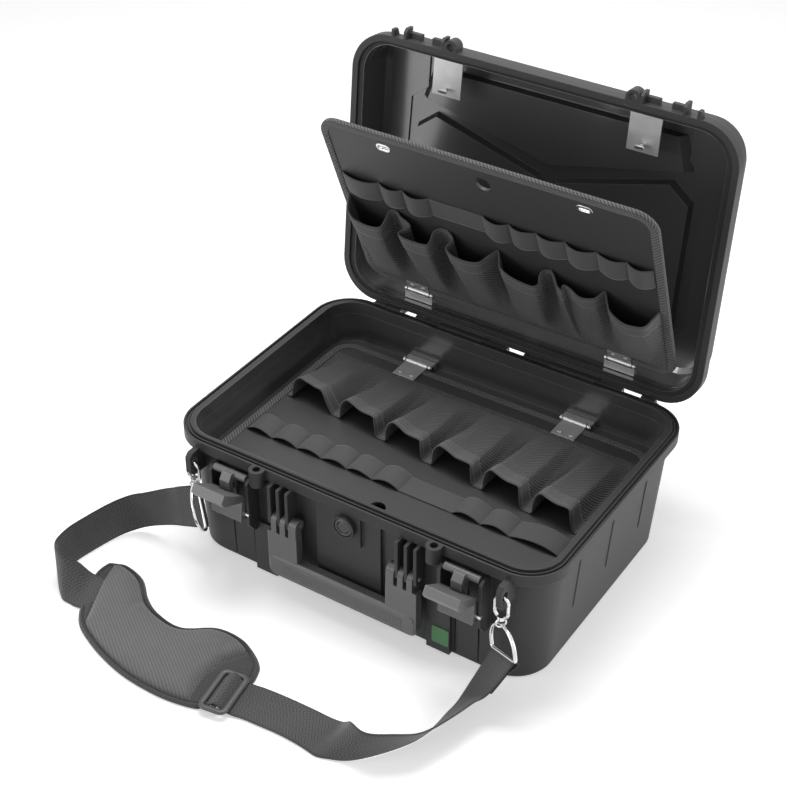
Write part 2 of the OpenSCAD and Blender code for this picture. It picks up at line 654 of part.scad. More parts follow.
// Tool boards, drawn about their hinge axis with the board towards -Y and the pockets up
module at_base_board() {
    translate([0, base_hinge_y, base_hinge_z]) children();
}
module at_lid_board() {
    leaning() translate([0, lid_hinge_y, lid_hinge_z]) mirror([0, 0, 1]) children();
}
module board_plan(w, h, edge, grow) {
    translate([0, -edge - h / 2]) plan(w + 2 * grow, h + 2 * grow, board_corner + grow);
}
module rivet_points(x, edge, s) {
    for (i = [-1, 1]) translate([x + 8 * i, -edge - s, 0]) children();
}
module tool_board(w, h, edge, hinge_x, rivet_s) {
    translate([0, 0, -board_drop - board_t]) linear_extrude(board_t) difference() {
        board_plan(w, h, edge, 0);
        translate([0, -edge - finger_s]) circle(r = 10);
        for (s = [-1, 1]) translate([s * eyelet_x, -edge - eyelet_s]) plan(14, 6, 2.9);
        for (s = [-1, 1]) rivet_points(s * hinge_x, edge, rivet_s) circle(r = 1.6);
    }
}
module binding(w, h, edge, hinge_x, rivet_s) {
    translate([0, 0, -board_drop - board_t - bind_t]) difference() {
        linear_extrude(board_t + 2 * bind_t) difference() {
            board_plan(w, h, edge, bind_t + 0.1);
            board_plan(w, h, edge, -bind_w);
            for (s = [-1, 1]) rivet_points(s * hinge_x, edge, rivet_s) circle(r = 1.6);
        }
        translate([0, 0, bind_t]) linear_extrude(board_t) board_plan(w, h, edge, 0.1);
    }
}
module elastic(xs, flat, s, edge) {
    translate([0, -edge - s, -board_drop]) rotate([90, 0, 0]) linear_extrude(band_w) for (i = [0:len(xs) - 2]) {
        f = len([for (k = flat) if (k == i) k]) > 0;
        c = f ? 0.6 : band_clear;
        difference() {
            polygon([[xs[i] - 1, 0], [xs[i] + 2, c + band_t], [xs[i + 1] - 2, c + band_t], [xs[i + 1] + 1, 0]]);
            polygon([[xs[i] + 1.5, -1], [xs[i] + 3.5, c], [xs[i + 1] - 3.5, c], [xs[i + 1] - 1.5, -1]]);
        }
    }
}
// Pockets: a sloping front panel and gathered sides, open at the far end
module pocket_row(seams, hems, stitch, bulge, edge) {
    for (i = [0:len(hems) - 1]) {
        a = seams[i];
        b = seams[i + 1];
        low = -board_drop;
        panel = [[stitch, 0], [hems[i], bulge - 1.5], [hems[i], bulge - 1.5 - cloth_t], [stitch + 6, 0]];
        translate([a, -edge, low]) rotate([90, 0, 90]) linear_extrude(b - a)
            polygon([for (p = panel) [-p[0], p[1]]]);
        for (x = [a, b - cloth_t]) translate([x, -edge, low]) rotate([90, 0, 90]) linear_extrude(cloth_t)
            polygon([[-stitch, 0], [-hems[i], bulge - 1.5], [-hems[i], 0]]);
    }
}
module eyelet_pair(edge) {
    for (s = [-1, 1]) translate([s * eyelet_x, -edge - eyelet_s, -board_drop - board_t]) {
        linear_extrude(board_t + 0.1) difference() {
            plan(13.8, 5.8, 2.8);
            plan(12.6, 4.6, 2.2);
        }
        translate([0, 0, board_t]) linear_extrude(0.8) difference() {
            plan(20, 12, 5.8);
            plan(12.6, 4.6, 2.2);
        }
    }
}
module moving_leaf(hinge_x, edge, length, rivet_s) {
    for (s = [-1, 1]) difference() {
        union() {
            pin_x(s * hinge_x - 15.5, s * hinge_x + 15.5, 0, 0, barrel_r);
            box(s * hinge_x - 15.5, s * hinge_x + 15.5, -edge - length, 0, -board_drop + bind_t + 0.1, 0.7);
        }
        pin_x(s * hinge_x - 20, s * hinge_x + 20, 0, 0, board_pin_d / 2 + pin_gap);
        rivet_points(s * hinge_x, edge, rivet_s) translate([0, 0, -9]) cylinder(r = 1.6, h = 20);
    }
}
module rivets(hinge_x, edge, s) {
    for (i = [-1, 1]) rivet_points(i * hinge_x, edge, s) {
        translate([0, 0, -board_drop - board_t - bind_t - 0.6]) cylinder(r = 1.5, h = board_t + bind_t + board_drop + 1.4);
        translate([0, 0, 0.75]) cylinder(r = 3, h = 1);
        translate([0, 0, -board_drop - board_t - bind_t - 1]) cylinder(r = 3, h = 0.9);
    }
}
module lid_board() {
    color([0.17, 0.17, 0.175]) at_lid_board() tool_board(lid_board_w, lid_board_h, lid_edge, lid_hinge_x, 5);
}
module lid_binding() {
    color([0.12, 0.12, 0.12]) at_lid_board() binding(lid_board_w, lid_board_h, lid_edge, lid_hinge_x, 5);
}
module lid_band() {
    color([0.3, 0.3, 0.31]) at_lid_board() elastic(lid_band_x, lid_band_flat, lid_band_s, lid_edge);
}
module lid_pockets() {
    color([0.16, 0.16, 0.17]) at_lid_board() intersection() {
        pocket_row(lid_seams, lid_hems, lid_stitch, lid_bulge, lid_edge);
        translate([0, 0, -board_drop]) linear_extrude(lid_bulge + 5)
            board_plan(lid_board_w, lid_board_h, lid_edge, -bind_w - 0.2);
    }
}
module lid_eyelets() {
    color([0.7, 0.7, 0.72]) at_lid_board() eyelet_pair(lid_edge);
}
module lid_leaves() {
    color([0.72, 0.73, 0.75]) at_lid_board() moving_leaf(lid_hinge_x, lid_edge, 11.6, 5);
}
module lid_rivets() {
    color([0.6, 0.6, 0.62]) at_lid_board() rivets(lid_hinge_x, lid_edge, 5);
}
module base_board() {
    color([0.17, 0.17, 0.175]) at_base_board() tool_board(base_board_w, base_board_h, base_edge, base_hinge_x, 20);
}
module base_binding() {
    color([0.12, 0.12, 0.12]) at_base_board() binding(base_board_w, base_board_h, base_edge, base_hinge_x, 20);
}
module base_band() {
    color([0.3, 0.3, 0.31]) at_base_board() elastic(base_band_x, base_band_flat, base_band_s, base_edge);
}
module base_pockets() {
    color([0.16, 0.16, 0.17]) at_base_board() pocket_row(base_seams, base_hems, base_stitch, base_bulge, base_edge);
}
module base_eyelets() {
    color([0.7, 0.7, 0.72]) at_base_board() eyelet_pair(base_edge);
}
module base_leaves() {
    color([0.72, 0.73, 0.75]) at_base_board() moving_leaf(base_hinge_x, base_edge, 28, 20);
}
module base_rivets() {
    color([0.6, 0.6, 0.62]) at_base_board() rivets(base_hinge_x, base_edge, 20);
}

// Handle: two arms of three fingers each, and a grip
module handle_frame() {
    color([0.19, 0.195, 0.20]) difference() {
        union() {
            hull() {
                translate([0, -(handle_front + 1.5), (handle_low + grip_high) / 2]) rotate([-90, 0, 0])
                    linear_extrude(0.1) plan(2 * handle_half - 6, grip_high - handle_low - 6, 6);
                translate([0, -(handle_front - 1), (handle_low + grip_high) / 2]) rotate([-90, 0, 0])
                    linear_extrude(9) plan(2 * handle_half, grip_high - handle_low, 9);
                translate([0, -(handle_back + 0.5), (handle_low + grip_high) / 2]) rotate([-90, 0, 0])
                    linear_extrude(0.1) plan(2 * handle_half - 5, grip_high - handle_low - 5, 6.5);
            }
            both() {
                box(handle_half - arm_w, handle_half, -handle_front, -handle_back, handle_low + 12, handle_z - 16);
                for (x = finger_x) {
                    w = x == finger_x[0] ? finger_w + 3 : finger_w;
                    pin_x(x - w / 2, x + w / 2, handle_y, handle_z, finger_r);
                    box(x - w / 2, x + w / 2, -handle_front, -handle_back, handle_z - 22, handle_z);
                }
            }
        }
        both() pin_x(50, 110, handle_y, handle_z, handle_pin_d / 2 + pin_gap);
        translate([0, -(handle_front + 1.1), (handle_low + grip_high) / 2 - 1]) rotate([90, 0, 0])
            linear_extrude(4) plan(2 * handle_half - 34, 17, 3);
    }
}
module handle_grip() {
    color([0.24, 0.24, 0.245]) translate([0, -(handle_front + 1.15), (handle_low + grip_high) / 2 - 1]) rotate([90, 0, 0]) {
        linear_extrude(0.3) plan(2 * handle_half - 34.6, 16.4, 2.8);
        for (i = [-31:31]) translate([i * 2.6 - 0.5, -7, 0]) cube([1, 14, 0.7]);
    }
}

// Latch lever, with its hub on the pin and its wide end swung out
module latch_lever() {
    o = -lever_y;
    difference() {
        slab_x(latch_x, lever_w, [[o - 4, lever_z - 8], [o + 7.9, lever_z - 8], [o + 5.8, lever_z + 11.6],
            [o + 4.6, lever_z + 18.8], [o + 36.5, lever_z + 34], [o + 40, lever_z + 41], [o + 34, lever_z + 49],
            [o + 2, lever_z + 27], [o - 4.5, lever_z + 14]]);
        box(latch_x - slot_w / 2, latch_x + slot_w / 2, -(o + 8.5), -(o - 10), lever_z + 13, lever_z + 60);
        pin_x(latch_x - 40, latch_x + 40, lever_y, lever_z, lever_pin_d / 2 + pin_gap);
    }
}
// Latch claw: the bar that hooks over the lid, its tab and the strap behind it
module latch_claw() {
    o = -bar_y;
    pin_x(latch_x - latch_w / 2, latch_x + latch_w / 2, bar_y, bar_z, bar_r);
    slab_x(latch_x, tab_w, [[o - 4.6, bar_z - 38], [o, bar_z - 38], [o, bar_z - 8], [o + 6, bar_z - 8],
        [o + 6, bar_z - 25], [o + 11, bar_z - 26], [o + 13, bar_z - 23], [o + 13, bar_z - 4],
        [o + 7, bar_z + 4], [o - 2, bar_z + 4], [o - 4.6, bar_z + 1]]);
}
module latch_lever_right() {
    color([0.33, 0.34, 0.34]) latch_lever();
}
module latch_lever_left() {
    color([0.33, 0.34, 0.34]) mirror([1, 0, 0]) latch_lever();
}
module latch_claw_right() {
    color([0.42, 0.42, 0.43]) latch_claw();
}
module latch_claw_left() {
    color([0.42, 0.42, 0.43]) mirror([1, 0, 0]) latch_claw();
}

base_shell();
base_padlock_eyes();
valve_body();
valve_cap();
valve_nut();
valve_membrane();
label_plate();
latch_pins();
lid_hinge_pins();
base_pallet_brackets();
base_pallet_pins();
handle_pins();
snap_hook_left();
snap_hook_right();
snap_gate_left();
snap_gate_right();
ring_left();
ring_right();
strap_left();
strap_right();
shoulder_pad();
strap_buckle();
lid_shell();
lid_padlock_eyes();
lid_seal();
lid_brackets();
turn_lock_left();
turn_lock_right();
lid_pallet_brackets();
lid_pallet_pins();
lid_board();
lid_binding();
lid_band();
lid_pockets();
lid_eyelets();
lid_leaves();
lid_rivets();
base_board();
base_binding();
base_band();
base_pockets();
base_eyelets();
base_leaves();
base_rivets();
handle_frame();
handle_grip();
latch_lever_left();
latch_lever_right();
latch_claw_left();
latch_claw_right();
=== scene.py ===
"""Hard tool case: camera, light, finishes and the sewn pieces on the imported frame."""
import math

import bmesh
import bpy
import numpy as np
from mathutils import Matrix, Vector


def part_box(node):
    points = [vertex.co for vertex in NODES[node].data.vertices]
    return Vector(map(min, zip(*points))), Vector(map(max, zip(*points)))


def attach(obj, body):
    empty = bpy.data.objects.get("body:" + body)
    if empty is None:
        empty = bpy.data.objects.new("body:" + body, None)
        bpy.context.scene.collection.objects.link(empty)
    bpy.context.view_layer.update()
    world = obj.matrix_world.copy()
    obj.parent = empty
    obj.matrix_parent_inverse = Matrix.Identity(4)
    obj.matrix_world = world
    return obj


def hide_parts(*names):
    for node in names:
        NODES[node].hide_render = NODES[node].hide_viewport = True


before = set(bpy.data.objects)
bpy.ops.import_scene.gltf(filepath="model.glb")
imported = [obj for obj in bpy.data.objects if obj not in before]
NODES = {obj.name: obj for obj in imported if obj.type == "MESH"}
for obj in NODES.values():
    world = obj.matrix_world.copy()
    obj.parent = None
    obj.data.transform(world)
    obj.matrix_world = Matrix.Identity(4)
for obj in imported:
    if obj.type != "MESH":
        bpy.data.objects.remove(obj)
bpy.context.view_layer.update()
MM = 0.001


# ---------------------------------------------------------------- camera and light

def set_camera():
    """A long lens at the front right corner, 36 degrees above the floor."""
    data = bpy.data.cameras.new("camera")
    data.lens, data.sensor_width = 75.86, 36.0
    camera = bpy.data.objects.new("camera", data)
    bpy.context.scene.collection.objects.link(camera)
    turn = Matrix.Rotation(math.radians(33.03), 4, "Z") @ Matrix.Rotation(math.radians(90 - 36.016), 4, "X")
    camera.matrix_world = Matrix.Translation((0.80126, -1.31231, 1.32432)) @ turn @ Matrix.Rotation(0.0017, 4, "Z")
    bpy.context.scene.camera = camera


def area_light(name, at, target, size, power, grey=1.0):
    """A rectangular lamp at one point that faces another."""
    data = bpy.data.lights.new(name, "AREA")
    data.shape, data.size, data.size_y = "RECTANGLE", size[0], size[1]
    data.energy, data.color = power, (grey, grey, grey)
    lamp = bpy.data.objects.new(name, data)
    lamp.location = at
    lamp.rotation_euler = (Vector(target) - Vector(at)).to_track_quat("-Z", "Y").to_euler()
    bpy.context.scene.collection.objects.link(lamp)


# ---------------------------------------------------------------- material maths

class Wire:
    """An output socket of a finish. Operators on wires and numbers add Math nodes."""

    def __init__(self, finish, socket):
        self.finish, self.socket = finish, socket

    def op(self, operation, *values):
        """One Math node on these wires and numbers."""
        return self.finish.node("Math", {"operation": operation}, dict(enumerate(values)))

    def __add__(self, other): return self.op("ADD", self, other)
    def __radd__(self, other): return self.op("ADD", other, self)
    def __sub__(self, other): return self.op("SUBTRACT", self, other)
    def __rsub__(self, other): return self.op("SUBTRACT", other, self)
    def __mul__(self, other): return self.op("MULTIPLY", self, other)
    def __rmul__(self, other): return self.op("MULTIPLY", other, self)
    def __truediv__(self, other): return self.op("DIVIDE", self, other)
    def __rtruediv__(self, other): return self.op("DIVIDE", other, self)
    def __pow__(self, other): return self.op("POWER", self, other)
    def __neg__(self): return self.op("MULTIPLY", self, -1.0)
    def __abs__(self): return self.op("ABSOLUTE", self)
    def __lt__(self, other): return self.op("LESS_THAN", self, other)
    def __gt__(self, other): return self.op("GREATER_THAN", self, other)
    def __mod__(self, other): return self.op("FLOORED_MODULO", self, other)


def wave(value): return value.op("SINE", value)
def least(a, b): return a.op("MINIMUM", a, b)
def most(a, b): return a.op("MAXIMUM", a, b)
def root(value): return value.op("SQRT", value)


class Finish:
    """One surface: a Principled shader, and the nodes that feed it."""

    def __init__(self, name, grey=60, tint=(1, 1, 1), rough=0.5, metal=0.0, coat=0.0, sheen=0.0, specular=0.5):
        self.material = bpy.data.materials.new(name)
        self.material.use_nodes = True
        self.tree = self.material.node_tree
        self.tree.nodes.clear()
        self.shader = self.tree.nodes.new("ShaderNodeBsdfPrincipled")
        output = self.tree.nodes.new("ShaderNodeOutputMaterial")
        self.tree.links.new(self.shader.outputs[0], output.inputs[0])
        self.colour = tuple(linear(grey) * t for t in tint)
        for key, value in (("Roughness", rough), ("Metallic", metal), ("Coat Weight", coat), ("Coat Roughness", 0.18),
                           ("Sheen Weight", sheen), ("Sheen Roughness", 0.45), ("Specular IOR Level", specular)):
            self.shader.inputs[key].default_value = value
        self.shader.inputs["Base Color"].default_value = (*self.colour, 1)
        self.material.diffuse_color = (*self.colour, 1)

    def node(self, kind, settings=None, values=None, out=0):
        """Any node: its settings first, then values or wires for its sockets, by name or number."""
        n = self.tree.nodes.new("ShaderNode" + kind)
        for key, value in (settings or {}).items():
            setattr(n, key, value)
        for key, value in (values or {}).items():
            if isinstance(value, Wire):
                self.tree.links.new(value.socket, n.inputs[key])
            else:
                n.inputs[key].default_value = value
        return Wire(self, n.outputs[out])

    def feed(self, key, wire):
        """Links a wire to a socket of the shader."""
        self.tree.links.new(wire.socket, self.shader.inputs[key])

    def place(self):
        """The place on the piece, in metres of the shared frame at rest."""
        return self.node("TexCoord", out="Object")

    def axes(self, vector=None):
        """The three parts of a vector, by default of the place."""
        n = self.node("SeparateXYZ", values={0: vector or self.place()})
        return [Wire(self, n.socket.node.outputs[i]) for i in range(3)]

    def cloth_axes(self):
        """Metres along and across a woven piece, from its own UV map."""
        return self.axes(self.node("UVMap", {"uv_map": "cloth"}))[:2]

    def noise(self, scale, detail=2.0, rough=0.5, vector=None, stretch=None):
        vector = vector or self.place()
        if stretch:
            vector = self.node("VectorMath", {"operation": "MULTIPLY"}, {0: vector, 1: stretch})
        return self.node("TexNoise", None, {"Vector": vector, "Scale": scale, "Detail": detail, "Roughness": rough})

    def span(self, value, low, high, to_low=0.0, to_high=1.0):
        """A smooth step from to_low to to_high as the value goes from low to high."""
        return self.node("MapRange", {"interpolation_type": "SMOOTHSTEP"},
                         {0: value, 1: low, 2: high, 3: to_low, 4: to_high})

    def mix(self, amount, a, b):
        """A colour between two; each is a wire or a tuple."""
        a, b = ((*c, 1) if isinstance(c, tuple) else c for c in (a, b))
        return self.node("Mix", {"data_type": "RGBA", "clamp_factor": True}, {0: amount, 6: a, 7: b}, out=2)

    def shade(self, amount):
        """The finish's own colour made darker or lighter by a factor that varies."""
        return self.node("VectorMath", {"operation": "SCALE"}, {0: self.colour, "Scale": amount})

    def bump(self, height, distance, strength=1.0, normal=None):
        """A normal tilted by a height map."""
        values = {"Height": height, "Distance": distance, "Strength": strength}
        if normal is not None:
            values["Normal"] = normal
        return self.node("Bump", None, values)

    def rounded(self, radius):
        """A normal that turns round the edges within a radius."""
        return self.node("Bevel", {"samples": 4}, {"Radius": radius})

    def edge_highlight_mask(self, radius):
        """One at a sharp edge and nought on a flat face: the mask by which the finishes paint a highlight along their
        edges.
        """
        soft = self.rounded(radius)
        true = self.node("NewGeometry", out="Normal")
        dot = self.node("VectorMath", {"operation": "DOT_PRODUCT"}, {0: soft, 1: true}, out="Value")
        return self.span(dot, 0.995, 0.86)


def linear(value):
    """A grey of 0 to 255 as it is written on a screen, as light."""
    v = value / 255
    return v / 12.92 if v <= 0.04045 else ((v + 0.055) / 1.055) ** 2.4


def moulded(name, grey, rough, grain=0.00006, radius=0.0006, edge_highlight_gain=0.35, tint=(1, 1, 1.01)):
    """Spark-eroded moulded plastic: a fine even grain, soft rounded edges with a painted highlight that makes their
    colour lighter, and faint cloudy flow marks.
    """
    f = Finish(name, grey, tint, rough)
    cloud = f.noise(9, 3)
    fine = f.noise(1500, 2, 0.6)
    edge = f.edge_highlight_mask(radius * 1.6)
    # Painted highlight: the colour is made lighter along every rounded edge.
    tone = 0.93 + cloud * 0.12 + fine * 0.06 + edge * edge_highlight_gain
    f.feed("Base Color", f.shade(tone))
    f.feed("Roughness", (rough - 0.05) + cloud * 0.06 + fine * 0.06)
    f.feed("Normal", f.bump(fine, grain, 0.8, f.rounded(radius)))
    return f


def shell_plastic(name, inside):
    """The moulded plastic of the shells: eroded outside, polished inside the mouth, where a painted reflection makes
    the colour lighter; every edge gets a painted highlight, stronger inside the mouth.
    """
    f = Finish(name, 60, (1, 1, 1.01), 0.40, specular=0.28)
    f.shader.inputs["Coat IOR"].default_value = 1.65 if inside == "base" else 2.1
    cloud, fine = f.noise(7, 3), f.noise(1300, 2, 0.6)
    edge = f.edge_highlight_mask(0.0016)
    x, y, z = f.axes()
    mouth_x, mouth_y, mouth_r = 0.236, 0.164, 0.038
    if inside == "base":
        depth = z
        dx, dy = abs(x) - (mouth_x - mouth_r), abs(y) - (mouth_y - mouth_r)
    else:
        # the open lid turned back to its closed place, about the hinge, by a cosine and a sine
        cy, cz = -0.09758, -0.99523
        hinge_y, hinge_z = 0.1796, 0.162
        py, pz = y - hinge_y, z - hinge_z
        yc = hinge_y + py * cy + pz * cz
        depth = hinge_z - py * cz + pz * cy
        dx, dy = abs(x) - (mouth_x - mouth_r), abs(yc) - (mouth_y - mouth_r)
    gap = root(most(dx, 0.0) ** 2.0 + most(dy, 0.0) ** 2.0) + least(most(dx, dy), 0.0) - mouth_r
    # drafted outer walls and sunk outer fields lie within the mouth's outline too, but face away from the middle
    nx, ny, nz = f.axes(f.node("TexCoord", out="Normal"))
    if inside == "base":
        inner = f.span(gap, 0.0009, 0.0002) * f.span(depth, 0.0032, 0.0042) * f.span(nx * x + ny * y, 0.03, 0.01)
    else:
        inner = f.span(gap, 0.0009, 0.0002) * f.span(depth, 0.2245, 0.2235) * f.span(nz * cy - ny * cz, 0.35, 0.15)
        inner = inner * f.span(nx * x + (ny * cy + nz * cz) * yc, 0.03, 0.01)
    # Painted reflection: inside the mouth the colour is lifted, by 35 % in the base and doubled in the lid. The edge
    # term is a painted highlight, stronger inside the mouth.
    lift = 0.35 if inside == "base" else 1.0
    tone = (0.93 + cloud * 0.12 + fine * 0.06) * (1 + inner * lift) + edge * (0.9 + inner * 0.8)
    f.feed("Base Color", f.shade(tone))
    f.feed("Roughness", (0.40 + cloud * 0.06 + fine * 0.06) - inner * (0.14 if inside == "base" else 0.20))
    f.feed("Coat Weight", inner * 0.9)
    f.feed("Normal", f.bump(fine, 0.00006, 0.8 - 0.6 * inner, f.rounded(0.0016)))
    return f


def plated(name, grey, rough, brushed=0.0, tint=(1, 1, 1), metal=1.0):
    """Plated metal: a bright surface with faint clouding and fine rolling marks."""
    f = Finish(name, grey, tint, rough, metal=metal)
    cloud = f.noise(60, 3)
    line = f.noise(240, 3, 0.7, stretch=(0.15, 1.0, 1.0)) if brushed else f.noise(900, 2)
    f.feed("Base Color", f.shade(0.86 + cloud * 0.24))
    f.feed("Roughness", (rough - 0.06) + cloud * 0.10 + line * 0.08)
    f.feed("Normal", f.bump(line, 0.00004 + brushed, 0.5, f.rounded(0.0005)))
    return f


def twill(name, grey, pitch, rough=0.75, sheen=0.25, slope=1.0, depth=0.00016, contrast=0.5, flecks=0.15):
    """Twill cloth: ribs at a slant to the two threads, each rib broken by the crossing threads."""
    f = Finish(name, grey, (1, 1, 1.015), rough, sheen=sheen)
    u, v = f.cloth_axes()
    turn = 2 * math.pi / pitch
    rib = wave((u + v * slope) * turn) * 0.5 + 0.5
    cross = wave(v * (turn * 1.9)) * 0.5 + 0.5
    weave = rib * 0.7 + cross * 0.3
    dust, cloud = f.noise(2600, 2), f.noise(28, 3)
    f.feed("Base Color", f.shade((1 - contrast / 2) + weave * contrast + (dust - 0.5) * flecks + (cloud - 0.5) * 0.22))
    f.feed("Roughness", (rough + 0.08) - weave * 0.12)
    f.feed("Normal", f.bump(weave + dust * 0.3, depth, 0.9))
    return f


def pad_fabric():
    """Woven nylon of the shoulder pad: a paler diagonal weave on the core, a darker plain one on the bound border."""
    f = Finish("pad_cloth", 104, (1, 1, 1.01), 0.72, sheen=0.35)
    u, v = f.cloth_axes()
    core = f.node("Attribute", {"attribute_name": "core"}, out="Fac")
    slant = wave((u * 0.7 + v) * (2 * math.pi / 0.0042)) * 0.5 + 0.5
    cross = wave((u - v * 0.4) * (2 * math.pi / 0.0025)) * 0.5 + 0.5
    plain = wave(u * (2 * math.pi / 0.0030)) * wave(v * (2 * math.pi / 0.0030)) * 0.5 + 0.5
    weave = core * (slant * 0.7 + cross * 0.3) + (1 - core) * plain
    dust, cloud = f.noise(2200, 2), f.noise(24, 3)
    tone = core * (0.72 + weave * 0.5) + (1 - core) * (0.16 + weave * 0.30)
    f.feed("Base Color", f.shade(tone * ((0.84 + dust * 0.2) + cloud * 0.12)))
    f.feed("Roughness", 0.78 - weave * 0.12)
    f.feed("Normal", f.bump(weave + dust * 0.3, 0.0005, 0.9))
    return f


def webbing_weave(name, grey, ribs=0.0016, herring=True, contrast=0.55):
    """Webbing: rows of yarn across, in zigzag columns where it is herringbone, and a plain bound edge."""
    f = Finish(name, grey, (1, 1, 1.01), 0.7, sheen=0.3)
    u, v = f.cloth_axes()
    turn = 2 * math.pi / ribs
    if herring:
        zig = abs((v % 0.0100) - 0.0050)
        rows = wave((u + zig * 1.1) * turn) * 0.5 + 0.5
    else:
        rows = wave(u * turn) * 0.5 + 0.5
    ends = wave(v * (2 * math.pi / 0.0011)) * 0.5 + 0.5
    side = f.span(abs(v), 0.0222, 0.0232)
    weave = (rows * 0.72 + ends * 0.28) * (1 - side * 0.6)
    dust, cloud = f.noise(2400, 2), f.noise(22, 3)
    f.feed("Base Color", f.shade((1 - contrast / 2) + weave * contrast + (dust - 0.5) * 0.2 + (cloud - 0.5) * 0.18))
    f.feed("Roughness", 0.8 - weave * 0.14)
    f.feed("Normal", f.bump(weave + dust * 0.25, 0.00026, 0.9))
    return f


def ribbed_elastic(name, grey):
    """Elastic tape: close cords along its length with small loops of cover yarn across them."""
    f = Finish(name, grey, (1, 1, 1.01), 0.72, sheen=0.3)
    u, v = f.cloth_axes()
    cords = wave(v * (2 * math.pi / 0.0013)) * 0.5 + 0.5
    loops = wave(u * (2 * math.pi / 0.0009) + cords * 1.4) * 0.5 + 0.5
    weave = cords * 0.4 + loops * 0.6
    dust, cloud = f.noise(2600, 2), f.noise(40, 3)
    f.feed("Base Color", f.shade(0.80 + weave * 0.34 + (dust - 0.5) * 0.2 + (cloud - 0.5) * 0.14))
    f.feed("Roughness", 0.82 - weave * 0.12)
    f.feed("Normal", f.bump(weave, 0.00014, 0.8))
    return f


def hem_cloth(name, grey, inset):
    """The folded hem of a pocket: twill with a row of thick stitches that shows as light dashes."""
    f = Finish(name, grey, (1, 1, 1.01), 0.75, sheen=0.25)
    u, v = f.cloth_axes()
    rib = wave((u - v) * (2 * math.pi / 0.0014)) * 0.5 + 0.5
    row = f.span(abs(v - inset), 0.0009, 0.0004)
    dash = f.span(abs((u % 0.0034) - 0.0017), 0.0013, 0.0009)
    stitch = row * dash
    dust = f.noise(2400, 2)
    f.feed("Base Color", f.shade(0.78 + rib * 0.38 + (dust - 0.5) * 0.25 + stitch * 0.9))
    f.feed("Roughness", 0.8 - stitch * 0.2)
    f.feed("Normal", f.bump(rib * 0.4 + stitch * 1.6 - row * 0.8 + dust * 0.2, 0.00035, 0.9))
    return f


def coated_board(name, grey):
    """Tool board: stiff sheet with a smooth coated face and a faint pressed grain."""
    f = Finish(name, grey, (1, 1, 1.01), 0.52)
    fine, cloud, cell = f.noise(900, 3, 0.6), f.noise(6, 3), f.noise(330, 2)
    f.feed("Base Color", f.shade(0.90 + cloud * 0.14 + fine * 0.08))
    f.feed("Roughness", 0.46 + cloud * 0.08 + fine * 0.08)
    f.feed("Normal", f.bump(fine + cell * 0.8, 0.00008, 0.8, f.rounded(0.0004)))
    return f


# ---------------------------------------------------------------- surfaces

def smooth_line(points, count):
    """Catmull-Rom curve through the points, by cubic weights of four neighbours, spaced evenly along its length."""
    p = np.asarray(points, float)
    p = np.vstack([2 * p[0] - p[1], p, 2 * p[-1] - p[-2]])
    t = np.linspace(0, len(p) - 3, 40 * (len(p) - 3) + 1)
    i = np.minimum(t.astype(int), len(p) - 4)
    f = (t - i)[:, None]
    a, b, c, d = p[i], p[i + 1], p[i + 2], p[i + 3]
    q = 0.5 * (2 * b + (c - a) * f + (2 * a - 5 * b + 4 * c - d) * f ** 2 + (3 * b - a - 3 * c + d) * f ** 3)
    return evenly(q, count)


def evenly(q, count):
    """The same line with points at equal steps of its length."""
    s = np.r_[0, np.cumsum(np.linalg.norm(np.diff(q, axis=0), axis=1))]
    at = np.linspace(0, s[-1], count)
    return np.stack([np.interp(at, s, q[:, k]) for k in range(q.shape[1])], 1)


def sheet_mesh(name, grid, uv=None, loop_u=False, loop_v=False):
    """A surface of quads on a grid of points [rows, columns]; a looped direction joins its last line to its first."""
    grid = np.asarray(grid, float)
    rows, cols = grid.shape[:2]
    r = np.arange(rows if loop_u else rows - 1)[:, None]
    c = np.arange(cols if loop_v else cols - 1)[None, :]
    r1, c1 = (r + 1) % rows, (c + 1) % cols
    quads = np.stack([r * cols + c, r1 * cols + c, r1 * cols + c1, r * cols + c1], -1).reshape(-1, 4)
    mesh = bpy.data.meshes.new(name)
    mesh.from_pydata((grid.reshape(-1, 3) * MM).tolist(), [], quads.tolist())
    if uv is not None:
        uv = np.asarray(uv, float) * MM
        corners = np.stack([uv[r, c], uv[r1, c], uv[r1, c1], uv[r, c1]], -2).reshape(-1, 4, 2)
        if loop_u:
            last = (np.arange(rows)[:, None] == rows - 1) & np.ones((1, c.shape[1]), bool)
            fix = last.reshape(-1)
            step = np.array([uv[-1, 0, 0] - uv[0, 0, 0] + abs(uv[1, 0, 0] - uv[0, 0, 0]), 0])
            corners[fix, 1] += step
            corners[fix, 2] += step
        layer = mesh.uv_layers.new(name="cloth")
        layer.data.foreach_set("uv", corners.reshape(-1).astype(np.float32))
    mesh.polygons.foreach_set("use_smooth", np.ones(len(mesh.polygons), bool))
    mesh.update()
    obj = bpy.data.objects.new(name, mesh)
    bpy.context.scene.collection.objects.link(obj)
    return obj


def metric_uv(grid):
    """UV of a grid in its own units: length along the middle column and length across each row."""
    along = np.r_[0, np.cumsum(np.linalg.norm(np.diff(grid[:, grid.shape[1] // 2], axis=0), axis=1))]
    across = np.linalg.norm(np.diff(grid, axis=1), axis=2).mean(0)
    across = np.r_[0, np.cumsum(across)]
    return np.stack(np.broadcast_arrays(along[:, None], across[None, :] - across.mean()), -1)


def thicken(obj, thickness, offset=0.0, levels=0):
    """Gives a sheet its wall, and smooths it if asked."""
    m = obj.modifiers.new("wall", "SOLIDIFY")
    m.thickness, m.offset, m.use_even_offset = thickness * MM, offset, False
    if levels:
        s = obj.modifiers.new("smooth", "SUBSURF")
        s.levels = s.render_levels = levels
    return obj


def dress(obj, body, finish, replaced=()):
    """Gives a new piece its finish, its body and the node that it stands for."""
    obj.data.materials.clear()
    obj.data.materials.append(finish.material)
    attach(obj, body)
    if replaced:
        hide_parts(*replaced)
    return obj


